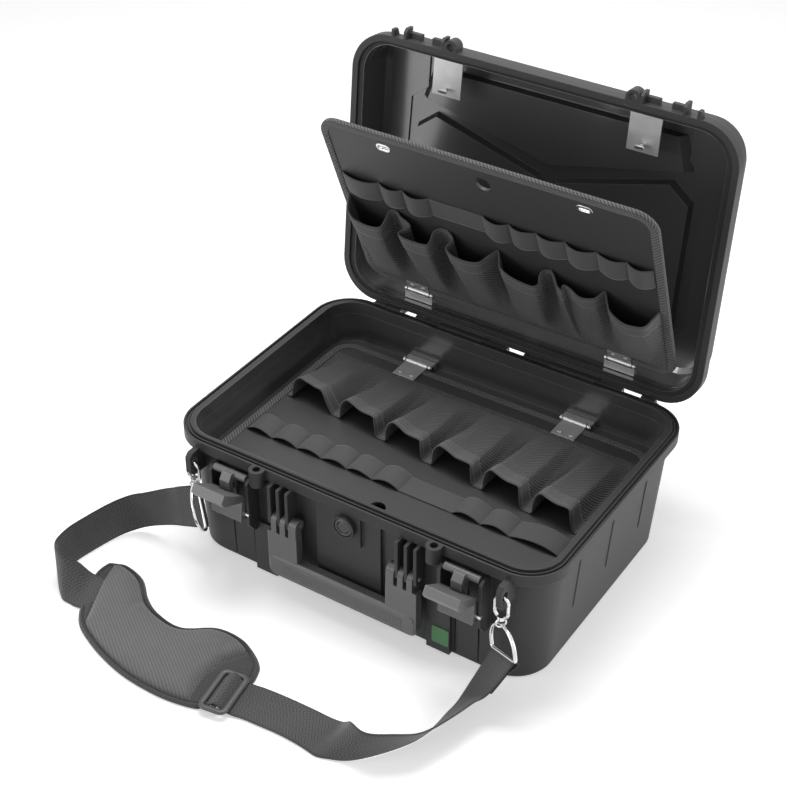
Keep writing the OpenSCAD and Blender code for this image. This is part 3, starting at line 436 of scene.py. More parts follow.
def paint(names, finish):
    """Sets the finish of carried-over pieces."""
    for name in names:
        for s in NODES[name].material_slots:
            s.material = finish.material
        if not NODES[name].material_slots:
            NODES[name].data.materials.append(finish.material)


# Board coordinates: x, distance s from the hinged edge, height h above the pocket side
def on_base_board(x, s, h):
    """Board coordinates to the lying base board."""
    x, s, h = np.broadcast_arrays(x, s, h)
    return np.stack([x, 143.5 - s, 116.5 + h], -1).astype(float)


LID_AXIS = np.array([0.0, 198.412, 189.898])
LID_ALONG = np.array([0.0, -0.38107, 0.92455])
LID_OUT = np.array([0.0, -0.92455, -0.38107])


def on_lid_board(x, s, h):
    """Board coordinates to the leaning lid board."""
    x, s, h = np.broadcast_arrays(x, s, h)
    p = LID_AXIS + (4.3 + s)[..., None] * LID_ALONG + (h - 1.6)[..., None] * LID_OUT
    p[..., 0] += x
    return p


def outline(width, depth, radius, count):
    """Rounded rectangle about the origin, from four straight lines and four quarter circles, evenly spaced."""
    a = np.linspace(0, np.pi / 2, 40)
    parts = []
    for k, (sx, sy) in enumerate(((1, 1), (-1, 1), (-1, -1), (1, -1))):
        t = a + k * np.pi / 2
        parts.append(np.stack([sx * (width / 2 - radius) + radius * np.cos(t),
                               sy * (depth / 2 - radius) + radius * np.sin(t)], 1))
    loop = np.vstack(parts + [parts[0][:1]])
    return evenly(loop, count + 1)[:-1]


def tape_round_board(name, place, width, height, body, finish, node):
    """Woven tape folded over the board's edge: a closed flat U carried round the rounded outline."""
    profile = [(9.2, 0.0), (9.3, 0.6), (8.7, 1.05), (5.0, 1.15), (1.2, 1.05), (-0.6, 0.6), (-1.1, -0.6), (-1.2, -2.0),
               (-1.1, -3.4), (-0.6, -4.6), (1.2, -5.05), (5.0, -5.15), (8.7, -5.05), (9.3, -4.6), (9.2, -4.0),
               (0.05, -4.0), (0.05, 0.0)]
    count = 420
    base = outline(width, height, 26, count)
    cx, cy = np.abs(base[:, 0]) - (width / 2 - 26), np.abs(base[:, 1]) - (height / 2 - 26)
    corner = (cx > 0) & (cy > 0)
    out = np.stack([np.where(corner, cx, (cx >= cy) * 1.0), np.where(corner, cy, (cy > cx) * 1.0)], 1)
    out /= np.linalg.norm(out, axis=1)[:, None]
    out *= np.sign(base)
    grid, uv = [], []
    along = np.r_[0, np.cumsum(np.linalg.norm(np.diff(base, axis=0), axis=1))]
    rows = np.array(profile)
    steps = np.r_[0, np.cumsum(np.linalg.norm(np.diff(rows, axis=0), axis=1))]
    pts = base[:, None, :] - out[:, None, :] * rows[None, :, :1]
    grid = place(pts[..., 0], height / 2 - pts[..., 1], np.broadcast_to(rows[None, :, 1], pts.shape[:2]))
    uv = np.stack(np.broadcast_arrays(along[:, None], steps[None, :] - 8), -1)
    obj = turned_out(sheet_mesh(name, grid, uv, loop_u=True, loop_v=True))
    return dress(obj, body, finish, (node,))


# ---------------------------------------------------------------- pockets and bands

def pocket_row(name, place, seams, mouths, stitch, rise, lead, body, finish, hem_finish, node, seed):
    """A row of bellows pockets in one cloth. Across, each pocket follows its mouth line, drawn as width, height and
    distance from the hinged edge; along, it starts flat at the stitched end and opens by a power of the distance to its
    hem."""
    rng = np.random.default_rng(seed)
    columns, pocket_of, flat_x = [], [], []
    step = [0.0] + [(b[0][2] - a[-1][2]) / 2 for a, b in zip(mouths[:-1], mouths[1:])] + [0.0]
    for i, mouth in enumerate(mouths):
        width = seams[i + 1] - seams[i]
        line = smooth_line(mouth, 65)
        part = np.linspace(0, 1, 65)
        line[:, 2] += step[i + 1] * np.clip(2 * part - 1, 0, 1) - step[i] * np.clip(1 - 2 * part, 0, 1)
        part = part + 0.03 * np.sin(part * 2 * np.pi)
        keep = slice(0, 65) if i == len(mouths) - 1 else slice(0, 64)
        columns.append((np.c_[line[:, 0] + seams[i], line[:, 1], line[:, 2]])[keep])
        pocket_of.append(np.full(65, i)[keep])
        flat_x.append((seams[i] + part * width)[keep])
    m, which, x0 = np.vstack(columns), np.concatenate(pocket_of), np.concatenate(flat_x)
    t = np.r_[np.linspace(0, 0.86, 40), np.linspace(0.88, 1.0, 10)][:, None]
    hem_s = m[:, 2]
    s = stitch + (hem_s - stitch)[None, :] * t
    open_x = t ** lead
    x = x0[None, :] + (m[:, 0] - x0)[None, :] * open_x
    h = m[:, 1][None, :] * rise(t)
    # folds run from the stitched seams towards the open hem, one set to each pocket
    phase = rng.uniform(0, 6.28, (len(mouths), 3))[which]
    swing = rng.uniform(0.6, 1.3, (len(mouths), 3))[which]
    width = (x0 - x0.min())[None, :]
    wrinkle = (np.sin(width / 9 + t * 7 * swing[:, 0] + phase[:, 0]) * 0.7
               + np.sin(width / 4.6 - t * 11 * swing[:, 1] + phase[:, 1]) * 0.35
               + np.sin(width / 21 + t * 5 + phase[:, 2]) * 1.1)
    lift = np.clip(m[:, 1] / 14, 0, 1)[None, :]
    h = h + wrinkle * np.sin(np.pi * np.clip(t, 0, 1)) ** 0.7 * lift * 0.8
    h = np.maximum(h, 0.9)
    grid = place(x, s, h)
    cloth = sheet_mesh(name, grid, metric_uv(grid))
    thicken(cloth, 1.1)
    dress(cloth, body, finish, (node,))
    # the hem lies on the last 9 mm of the cloth, pushed out by its own thickness
    rows = grid[-12:]
    du, dv = np.gradient(rows, axis=0), np.gradient(rows, axis=1)
    out = np.cross(dv, du)
    out /= np.linalg.norm(out, axis=2)[..., None] + 1e-9
    side = np.sign((out * (place(0.0, 50.0, 1.0) - place(0.0, 50.0, 0.0))).sum(-1).mean())
    edge = rows + out * side * 0.75
    turned = rows[-1:] + (rows[-1:] - rows[-2:-1]) * 0.35
    edge = np.concatenate([edge, turned, rows[::-1][:4] - (out * side)[::-1][:4] * 0.6])
    along = np.r_[0, np.cumsum(np.linalg.norm(np.diff(rows[-1], axis=0), axis=1))]
    across = np.linalg.norm(edge - rows[-1][None], axis=2)
    uv = np.stack(np.broadcast_arrays(along[None, :], across), -1)
    hem = sheet_mesh(name + "_hem", edge, uv)
    thicken(hem, 0.8)
    dress(hem, body, hem_finish)
    return cloth, hem


def flat_tape(name, place, x1, x2, s1, s2, height, body, finish):
    """A flat sewn tape: a low rounded bar drawn across, carried straight along."""
    a = np.linspace(0, 2 * np.pi, 24, endpoint=False)
    prof_s = (s1 + s2) / 2 + (s2 - s1) / 2 * np.sign(np.cos(a)) * np.abs(np.cos(a)) ** 0.35
    prof_h = height / 2 + height / 2 * np.sign(np.sin(a)) * np.abs(np.sin(a)) ** 0.6
    x = np.linspace(x1, x2, 160)
    ripple = 0.12 * np.sin(x / 3.1)[:, None]
    grid = place(x[:, None], prof_s[None, :] + ripple, prof_h[None, :] + 0.05)
    uv = np.stack(np.broadcast_arrays(x[:, None] - x1, (prof_s - s1)[None, :]), -1)
    obj = sheet_mesh(name, grid, uv, loop_v=True)
    close_ends(obj)
    return dress(obj, body, finish)


def close_ends(obj):
    """Fills the open end rings of a tube and turns all faces outwards."""
    b = bmesh.new()
    b.from_mesh(obj.data)
    bmesh.ops.holes_fill(b, edges=[e for e in b.edges if e.is_boundary], sides=0)
    bmesh.ops.recalc_face_normals(b, faces=b.faces[:])
    b.to_mesh(obj.data)
    b.free()


def turned_out(obj):
    """Merges doubles and turns all faces of a closed piece outwards."""
    b = bmesh.new()
    b.from_mesh(obj.data)
    bmesh.ops.remove_doubles(b, verts=b.verts[:], dist=1e-6)
    bmesh.ops.recalc_face_normals(b, faces=b.faces[:])
    b.to_mesh(obj.data)
    b.free()
    return obj


def elastic_row(name, place, stops, flats, s0, height, body, finish, node, seed):
    """Elastic sewn down at each stop: between two stops it arches as a rounded hump, higher at its open side, or lies
    flat where it is sewn through."""
    rng = np.random.default_rng(seed)
    xs, hs, ks = [], [], []
    for i in range(len(stops) - 1):
        t = np.linspace(0, 1, 40)
        flat = i in flats
        top = 0.9 if flat else height * rng.uniform(0.9, 1.08)
        lean = rng.uniform(-0.08, 0.08)
        u = np.clip(t + lean * np.sin(np.pi * t), 0, 1)
        hump = (1 - np.abs(2 * u - 1) ** 2.3) ** 0.8
        h = 0.7 + (top - 0.7) * (hump if not flat else np.clip(8 * np.minimum(t, 1 - t), 0, 1))
        squeeze = 0.0 if flat else 1.6
        x = stops[i] + (stops[i + 1] - stops[i]) * t + squeeze * np.sin(2 * np.pi * t)
        keep = slice(0, 40) if i == len(stops) - 2 else slice(0, 39)
        xs.append(x[keep]); hs.append(h[keep]); ks.append(np.full(40, 0.0 if flat else 1.0)[keep])
    x, h, loose = np.concatenate(xs), np.concatenate(hs), np.concatenate(ks)
    v = np.linspace(0, 1, 16)
    s = s0 + 30 * v
    share = 1 - 0.16 * v[None, :] * loose[:, None]
    bow = 0.5 * np.sin(np.pi * v)[None, :] * loose[:, None]
    grid = place(x[:, None], s[None, :], h[:, None] * share + bow)
    along = np.r_[0, np.cumsum(np.hypot(np.diff(x), np.diff(h)))]
    uv = np.stack(np.broadcast_arrays(along[:, None], (s - s0)[None, :]), -1)
    obj = sheet_mesh(name, grid, uv)
    thicken(obj, 1.0)
    return dress(obj, body, finish, (node,))


# ---------------------------------------------------------------- shoulder strap

def band_between(low, high, count):
    """Centre line and half-width vector of a strap from its two edges, both made smooth and even."""
    both = smooth_line(np.hstack([low, high]), count)
    a, b = both[:, :3], both[:, 3:]
    return (a + b) / 2, (b - a) / 2


def strap(name, centre, half, thickness, body, finish, start=0.0):
    """Webbing: a flat bar with rounded selvedges, carried along the centre line and turned with its half-width."""
    tangent = np.gradient(centre, axis=0)
    tangent /= np.linalg.norm(tangent, axis=1)[:, None]
    half = half / np.linalg.norm(half, axis=1)[:, None] * 25
    # the lower edge rests on the floor where the strap stands on it
    lift = np.maximum(0, 1.4 + abs(half[:, 2]) - centre[:, 2])
    centre = centre + np.stack([lift * 0, lift * 0, lift], axis=1)
    up = np.cross(tangent, half)
    up /= np.linalg.norm(up, axis=1)[:, None]
    a = np.linspace(0, 2 * np.pi, 48, endpoint=False)
    across = np.sign(np.cos(a)) * np.abs(np.cos(a)) ** 0.25
    rise = np.sign(np.sin(a)) * np.abs(np.sin(a)) ** 0.5 * thickness / 2 * (1 - 0.12 * (np.abs(across) > 0.9))
    grid = centre[:, None, :] + half[:, None, :] * across[None, :, None] + up[:, None, :] * rise[None, :, None]
    along = start + np.r_[0, np.cumsum(np.linalg.norm(np.diff(centre, axis=0), axis=1))]
    uv = np.stack(np.broadcast_arrays(along[:, None], across[None, :] * 25), -1)
    obj = sheet_mesh(name, grid, uv, loop_v=True)
    close_ends(obj)
    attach(obj, body)
    obj.data.materials.append(finish.material)
    return obj


def wire_loop(name, centre, radius, sides, body, finish, loop=True, wide=1.0):
    """Round wire: a circle carried along a line, kept upright by carrying its first normal forward."""
    n = len(centre)
    tangent = (np.roll(centre, -1, 0) - np.roll(centre, 1, 0)) if loop else np.gradient(centre, axis=0)
    tangent /= np.linalg.norm(tangent, axis=1)[:, None]
    axis = np.linalg.svd(centre - centre.mean(0), full_matrices=False)[2][2]
    one = np.cross(tangent, axis)
    one /= np.linalg.norm(one, axis=1)[:, None]
    two = np.cross(tangent, one)
    a = np.linspace(0, 2 * np.pi, sides, endpoint=False)
    r = np.broadcast_to(np.asarray(radius, float), (n,))
    spoke = np.cos(a)[None, :, None] * one[:, None] * wide + np.sin(a)[None, :, None] * two[:, None]
    grid = centre[:, None] + r[:, None, None] * spoke
    obj = sheet_mesh(name, grid, None, loop_u=loop, loop_v=True)
    if not loop:
        close_ends(obj)
    turned_out(obj)
    return dress(obj, body, finish)


def near_edge(points, ring):
    """Distance of each point to a closed outline of straight pieces, less than nought outside it."""
    a, b = ring, np.roll(ring, -1, 0)
    d = b - a
    p = points[..., None, :]
    t = np.clip(((p - a) * d).sum(-1) / (d * d).sum(-1), 0, 1)
    gap = np.linalg.norm(p - (a + t[..., None] * d), axis=-1).min(-1)
    x, y = points[..., 0, None], points[..., 1, None]
    crossing = (b[:, 0] - a[:, 0]) * (y - a[:, 1]) / (b[:, 1] - a[:, 1] + 1e-12) + a[:, 0]
    over = ((a[:, 1] > y) != (b[:, 1] > y)) & (x < crossing)
    return np.where(over.sum(-1) % 2 == 1, gap, -gap)


def unit(v):
    """The vector at a length of one."""
    v = np.asarray(v, float)
    return v / np.linalg.norm(v)


def square_to(v, b):
    """The part of a vector square to another, at a length of one."""
    v = np.asarray(v, float)
    return unit(v - b * (v @ b))


# ---------------------------------------------------------------- finishes

set_camera()
bpy.context.scene.view_settings.view_transform = "Standard"

shell_base = shell_plastic("shell_base", "base")
shell_lid = shell_plastic("shell_lid", "lid")
dark_plastic = moulded("dark_plastic", 46, 0.45)
latch_plastic = moulded("latch_plastic", 106, 0.34, radius=0.0012, edge_highlight_gain=0.8)
handle_plastic = moulded("handle_plastic", 98, 0.34, radius=0.0014, edge_highlight_gain=0.9)
grip_plastic = moulded("grip_plastic", 100, 0.5, edge_highlight_gain=0.8)
cap_plastic = moulded("cap_plastic", 74, 0.34, radius=0.0005, edge_highlight_gain=0.5)
buckle_plastic = moulded("buckle_plastic", 80, 0.36, radius=0.001, edge_highlight_gain=0.6)
rubber = moulded("rubber", 22, 0.7, edge_highlight_gain=0.1)
membrane = moulded("membrane", 150, 0.7, edge_highlight_gain=0.0)
green_label = moulded("green_label", 128, 0.4, grain=0.00001, edge_highlight_gain=0.0, tint=(0.32, 1.05, 0.38))
steel = plated("steel", 205, 0.28)
zinc = plated("zinc", 208, 0.34, brushed=0.00006, metal=0.7)
nickel = plated("nickel", 225, 0.16)
board_face = coated_board("board_face", 58)
tape = twill("tape", 84, 0.0046, slope=0.9, depth=0.0012, contrast=1.5, rough=0.7)
pocket_nylon = twill("pocket_nylon", 72, 0.0044, slope=0.9, contrast=1.3, depth=0.0013)
pocket_hem = hem_cloth("pocket_hem", 84, 0.0042)
seam_tape = twill("seam_tape", 72, 0.0044, slope=-1.0, depth=0.0006, contrast=1.1)
elastic = ribbed_elastic("elastic", 76)
web_finish = webbing_weave("web_finish", 72, ribs=0.0042, contrast=1.1)
web_fold = webbing_weave("web_fold", 76, ribs=0.0052, herring=False, contrast=1.4)
pad_cloth = pad_fabric()

for finish, names in (
        (shell_base, ("base_shell", "base_padlock_eyes")), (shell_lid, ("lid_shell", "lid_padlock_eyes")),
        (dark_plastic, ("valve_body", "valve_cap", "valve_nut", "strap_buckle")), (rubber, ("lid_seal",)),
        (membrane, ("valve_membrane",)), (green_label, ("label_plate",)),
        (steel, ("latch_pins", "lid_hinge_pins", "handle_pins", "base_pallet_pins", "lid_pallet_pins")),
        (zinc, ("base_pallet_brackets", "lid_pallet_brackets", "lid_brackets", "base_leaves", "lid_leaves",
                "base_rivets", "lid_rivets")),
        (nickel, ("turn_lock_left", "turn_lock_right", "base_eyelets", "lid_eyelets", "snap_hook_left",
                  "snap_hook_right", "snap_gate_left", "snap_gate_right", "ring_left", "ring_right")),
        (board_face, ("base_board", "lid_board")), (tape, ("base_binding", "lid_binding")),
        (elastic, ("base_band", "lid_band")), (pocket_nylon, ("base_pockets", "lid_pockets")),
        (web_finish, ("strap_left", "strap_right")), (pad_cloth, ("shoulder_pad",)),
        (handle_plastic, ("handle_frame",)), (grip_plastic, ("handle_grip",)),
        (latch_plastic, ("latch_lever_left", "latch_lever_right", "latch_claw_left", "latch_claw_right"))):
    paint(names, finish)

# ---------------------------------------------------------------- the tool boards

tape_round_board("base_tape", on_base_board, 446, 291, "base_pallet", tape, "base_binding")
tape_round_board("lid_tape", on_lid_board, 430, 289, "lid_pallet", tape, "lid_binding")

# Mouth of each pocket: width from its left seam, height above the board, and distance of the hem from the hinge edge
base_seams = [-211, -137, -66, 4, 77, 145, 213]
base_hems = [138, 146, 154, 162, 169, 175]


def base_mouth(width, hem, left, right, sag, round_right):
    """Box-shaped mouth: a steep left wall, a nearly level top that sinks by sag, and a right wall that curves under."""
    w, r = width, round_right
    return [(0, 0.9, hem), (4.5, 1.2, hem), (7.5, 4, hem), (8.5, 12, hem), (9, 21, hem - 1), (11, left - 4, hem - 3),
            (16, left, hem - 5), (w * 0.36, left - sag * 0.5, hem - 4), (w * 0.55, right - sag * 0.3, hem - 2),
            (w - 12 - r, right, hem - 1), (w - 10 - r * 0.7, right - 5, hem), (w - 9 - r * 0.4, 14, hem),
            (w - 8, 5, hem), (w - 5, 1.2, hem), (w, 0.9, hem)]


base_mouths = [base_mouth(base_seams[i + 1] - base_seams[i], base_hems[i], *shape) for i, shape in enumerate((
    (30, 29, 2, 12), (30, 27, 2, 1), (31, 27, 2, 1), (31, 28, 1, 1), (32, 30, 2, 2), (32, 31, 2, 3)))]
pocket_row("base_pocket_cloth", on_base_board, base_seams, base_mouths, 35,
           lambda t: t ** 0.85, 0.5, "base_pallet", pocket_nylon, pocket_hem, "base_pockets", 3)
flat_tape("base_seam_tape", on_base_board, -212, 214, 27, 38, 1.3, "base_pallet", seam_tape)

lid_seams = [-205.5, -138, -69, 0, 69, 138, 205.5]
lid_mouths = [
    [(0, 1, 156), (4, 10, 156), (9, 20, 153), (18, 26, 149), (34, 28, 146), (50, 28, 147), (58, 25, 149), (60, 15, 153),
     (60, 6, 156), (64, 2, 157), (67.5, 0.9, 156)],
    [(0, 0.9, 155), (9, 6, 152), (20, 9, 150), (24, 13, 148), (17, 20, 147), (15, 25, 146), (24, 28, 145), (42, 28, 144),
     (55, 27, 145), (57, 20, 147), (56, 10, 150), (61, 3, 151), (69, 0.9, 150)],
    [(0, 0.9, 149), (7, 4, 146), (12, 9, 144), (9, 16, 142), (10, 22, 141), (20, 26, 139), (38, 27, 138), (54, 23, 139),
     (62, 12, 142), (69, 0.9, 143)],
    [(0, 0.9, 142), (6, 10, 140), (11, 19, 137), (24, 24, 134), (42, 27, 133), (58, 27, 133), (63, 22, 134), (60, 13, 136),
     (61, 5, 138), (69, 0.9, 138)],
    [(0, 0.9, 137), (8, 8, 135), (14, 15, 132), (21, 18, 130), (20, 11, 131), (29, 12, 130), (44, 17, 127), (60, 14, 129),
     (66, 6, 131), (69, 0.9, 132)],
    [(0, 0.9, 131), (7, 12, 128), (15, 21, 124), (32, 27, 120), (47, 27, 120), (59, 23, 121), (64, 12, 124),
     (67.5, 0.9, 126)]]
pocket_row("lid_pocket_cloth", on_lid_board, lid_seams, lid_mouths, 13,
           lambda t: np.sin(t * np.pi / 2) ** 0.9, 0.7, "lid_pallet", pocket_nylon, pocket_hem, "lid_pockets", 8)
flat_tape("lid_seam_tape", on_lid_board, -197, 197, 10.5, 17, 1.2, "lid_pallet", seam_tape)

base_stops = [-212, -176, -139, -103.5, -67.5, -32, 4.3, 40.6, 76.3, 113, 149.5, 212.5]
lid_stops = [-204, -152, -119, -83, -45, -11, 24, 59, 96, 135, 172, 204]
elastic_row("base_elastic", on_base_board, base_stops, (6, 7), 190, 8.5, "base_pallet", elastic, "base_band", 5)
elastic_row("lid_elastic", on_lid_board, lid_stops, (3, 4), 170, 8.5, "lid_pallet", elastic, "lid_band", 6)

# ---------------------------------------------------------------- mould ribs of the side walls

def side_ribs(side):
    """Low ribs up each side wall: a flat ellipse carried up the wall's draft line and drawn in at both ends."""
    z = np.linspace(58, 151.6, 30)
    a = np.linspace(0, 2 * np.pi, 16, endpoint=False)
    size = np.sqrt(np.clip(1 - (2 * (z - z[0]) / (z[-1] - z[0]) - 1) ** 12, 0.01, 1))[:, None]
    wall = (233 + (z - 4) / 148 * 9.5)[:, None]
    for k, y in enumerate((-80, -2, 80)):
        grid = np.stack([side * (wall + 1.2 * size * np.cos(a)), y + 2.0 * size * np.sin(a),
                         np.broadcast_to(z[:, None], (30, 16))], -1)
        obj = sheet_mesh("side_rib_%s%d" % ("lr"[side > 0], k + 1), grid, None, loop_v=True)
        close_ends(obj)
        dress(obj, "case_base", shell_base)


side_ribs(-1)
side_ribs(1)

# ---------------------------------------------------------------- valve cap and eyelets

def valve_cap():
    """A round cap, its height a function of radius and angle: a flat middle, a groove that four bridges cross, a raised
    ring, and a rounded edge that turns back to the body."""
    low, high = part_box("valve_cap")
    face, back, cz = low[1] / MM, high[1] / MM, (low[2] + high[2]) / 2 / MM
    size = (high[2] - low[2]) / 2 / MM
    r = np.array([0.4, 3, 6, 7.6, 7.9, 8.3, 9.2, 9.6, 10.0, 10.6, 11.4, 12.0, 12.4, 13.0, 13.6, 13.9, 14.0]) * size / 14
    h = np.array([1.1, 1.1, 1.1, 1.1, 0.9, 3.2, 3.2, 1.0, 0.4, 0.05, 0.0, 0.3, 0.8, 1.1, 1.4, 2.0, 3.4])
    a = np.linspace(0, 2 * np.pi, 96, endpoint=False)
    bridge = np.clip(1.6 - np.abs(((a + np.pi / 4) % (np.pi / 2)) - np.pi / 4) * 9, 0, 1)[:, None]
    groove = (h > 2.5) & (r < 9.4 * size / 14)
    depth = np.where(groove[None, :], h[None, :] * (1 - bridge) + 1.1 * bridge, h[None, :])
    rr = np.r_[r, size, size * 0.6, 0.4]
    dd = np.concatenate([depth, np.broadcast_to([back - face - 0.4] * 3, (96, 3))], 1)
    grid = np.stack([np.cos(a)[:, None] * rr, face + dd, cz + np.sin(a)[:, None] * rr], -1)
    obj = sheet_mesh("valve_face", grid, None, loop_u=True)
    close_ends(obj)
    dress(obj, "case_base", cap_plastic, ("valve_cap",))


def eyelets(name, place, body, node):
    """Pressed oval eyelets: a slot with round corners, and one profile of distances from it and heights carried round.

    The profile is a rolled flange on the face of the board and a barrel through it. A point lies at the centre of its
    corner plus the corner's radius and the profile's distance, along its own angle."""
    rows = np.array([(0.6, 0.0), (3.55, 0.0), (3.7, 0.3), (3.4, 0.62), (2.5, 0.8), (1.2, 0.78), (0.35, 0.5), (0, -0.2),
                     (0, -4.0), (0.6, -4.0)])
    a = ((np.arange(64) + 0.5) * 2 * np.pi / 64)[:, None]
    across, along = np.sign(np.cos(a)) * 4.1, np.sign(np.sin(a)) * 0.1
    reach = 2.2 + rows[None, :, 0]
    both = [place(side * 128.5 + across + reach * np.cos(a), 268 + along + reach * np.sin(a),
                  np.broadcast_to(rows[None, :, 1], (64, len(rows)))) for side in (-1, 1)]
    for k, grid in enumerate(both):
        obj = turned_out(sheet_mesh("%s_%d" % (name, k + 1), grid, None, loop_u=True, loop_v=True))
        dress(obj, body, nickel, (node,) if k == 0 else ())


valve_cap()
eyelets("lid_eyelet_rim", on_lid_board, "lid_pallet", "lid_eyelets")
eyelets("base_eyelet_rim", on_base_board, "base_pallet", "base_eyelets")

# ---------------------------------------------------------------- shoulder strap

tilt_x, tilt_y = math.radians(7.5), math.radians(4.6)
left_eye = np.array([-205, -187.5, 144]) + 40 * np.array([-math.sin(tilt_y), math.sin(tilt_x) * math.cos(tilt_y),
                                                         -math.cos(tilt_x) * math.cos(tilt_y)])
left_along = unit([-0.481, 0.374, 0.792])
left_bow = square_to([0.2, -0.66, 0.72], left_along)
left_bar = left_eye - left_along * 27 - left_bow * 8
right_along = unit([0.79, -0.486, 0.374])
right_bow = square_to([-0.288, 0.246, 0.926], right_along)
right_bar = np.array([205, -187.5, 104]) - right_bow * 35
seat = 3.7
left_away = square_to([-1, -0.1, -0.55], left_along)
right_away = square_to([-0.3, -0.6, -0.74], right_along)
left_low = [left_bar - left_along * 25 + left_away * (seat - 0.9), [-223, -190, 40], [-251, -185, 25], [-281, -187, 10],
            [-297, -197, 4], [-309, -217, 2], [-317, -252, 2], [-321, -282, 2], [-316, -312, 2], [-293, -334, 2],
            [-278, -336, 2.5], [-262.6, -334.4, 3], [-246, -331, 3.5]]
left_high = [left_bar + left_along * 25 + left_away * (seat - 0.9), [-236, -180, 86], [-258, -178, 73], [-286, -186, 60],
             [-303, -194, 54], [-315, -215, 51], [-323, -250, 51], [-327, -280, 51], [-322, -306, 50], [-303, -314, 44],
             [-292, -304, 32], [-282.3, -295.3, 14], [-266, -287, 6]]
right_low = [right_bar - right_along * 25 + right_away * seat, [180, -209, 12], [177, -228, 3], [176, -247, 3],
             [175, -272, 3], [167, -300, 3], [150, -329, 3], [128, -354, 3], [107, -364, 3], [80, -367, 2], [40, -368, 2],
             [4, -370, 2], [-14, -374, 3.2], [-26, -376.5, 6.3], [-29, -377, 8.5], [-35, -378.5, 13.4], [-41, -380, 9],
             [-45, -381, 6.2]]
right_high = [right_bar + right_along * 25 + right_away * seat, [214, -226, 37], [208, -245, 37], [203, -266, 38],
              [193, -298, 39], [184, -318, 42], [167, -334, 43], [142, -350, 43], [120, -344, 36], [90, -323, 8],
              [50, -318, 3], [-4, -321, 2], [-21, -324.5, 3.2], [-33, -327, 6.3], [-37, -328, 8.5], [-43, -329.5, 13.4],
              [-49, -331, 9], [-53, -332, 6.2]]


def strap_with_fold(name, low, high, away, reach, fold, body, finish, fold_finish, node):
    """The strap and its sewn end: the end lies against the strap, parts from it near the bar and turns half round it."""
    centre, half = band_between(low, high, 260)
    tangent = np.gradient(centre, axis=0)
    tangent /= np.linalg.norm(tangent, axis=1)[:, None]
    h = half / np.linalg.norm(half, axis=1)[:, None]
    n = np.cross(tangent, h)
    n *= np.sign(n[0] @ away)
    gone = np.r_[0, np.cumsum(np.linalg.norm(np.diff(centre, axis=0), axis=1))]
    k = np.arange(0, 200)
    k = k[gone[k] <= fold]
    off = 2.6 + (2 * reach - 2.6) * np.exp(-(gone[k] / 10) ** 2)
    back = (centre[k] - n[k] * off[:, None])[::-1]
    t0 = tangent[0]
    mid = (back[-1] + centre[0]) / 2
    turn = np.linspace(np.pi, 0, 14)[1:-1, None]
    r = np.linalg.norm(back[-1] - centre[0]) / 2
    side = unit(centre[0] - back[-1])
    down = unit(np.cross(h[0], side))
    down *= -np.sign(down @ t0)
    wrap = mid + r * (np.cos(turn) * side + np.sin(turn) * down)
    path = np.vstack([back, wrap, centre[:6]])
    halves = np.vstack([half[k][::-1], np.repeat(half[:1], len(wrap), 0), half[:6]])
    end = strap(name + "_end", path, halves, 2.3, body, fold_finish)
    main = strap(name, centre, half, 2.4, body, finish)
    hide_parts(node)
    return main, end


strap_with_fold("web_left", left_low, left_high, left_away, seat - 0.9, 46, "case_base", web_finish, web_finish,
                "strap_left")
strap_with_fold("web_right", right_low, right_high, right_away, seat, 50, "case_base", web_finish, web_fold,
                "strap_right")

outer_side = [(-277, -256), (-286, -263), (-284, -292), (-255, -348), (-217, -373), (-159, -391), (-103, -395), (-61, -389),
              (-47, -380), (-33, -350), (-25, -324), (-27, -311)]
inner_side = [(-277, -256), (-262, -252), (-233, -260), (-205, -283), (-179, -295), (-144, -298), (-110, -277),
              (-77, -275), (-50, -286), (-33, -299), (-27, -311)]
left_seam = np.array([(-276, -262), (-267, -292), (-243, -346), (-236, -372)])[::-1]
right_seam = np.array([(-56, -297), (-69, -319), (-73, -341), (-71, -360), (-64, -390)])[::-1]


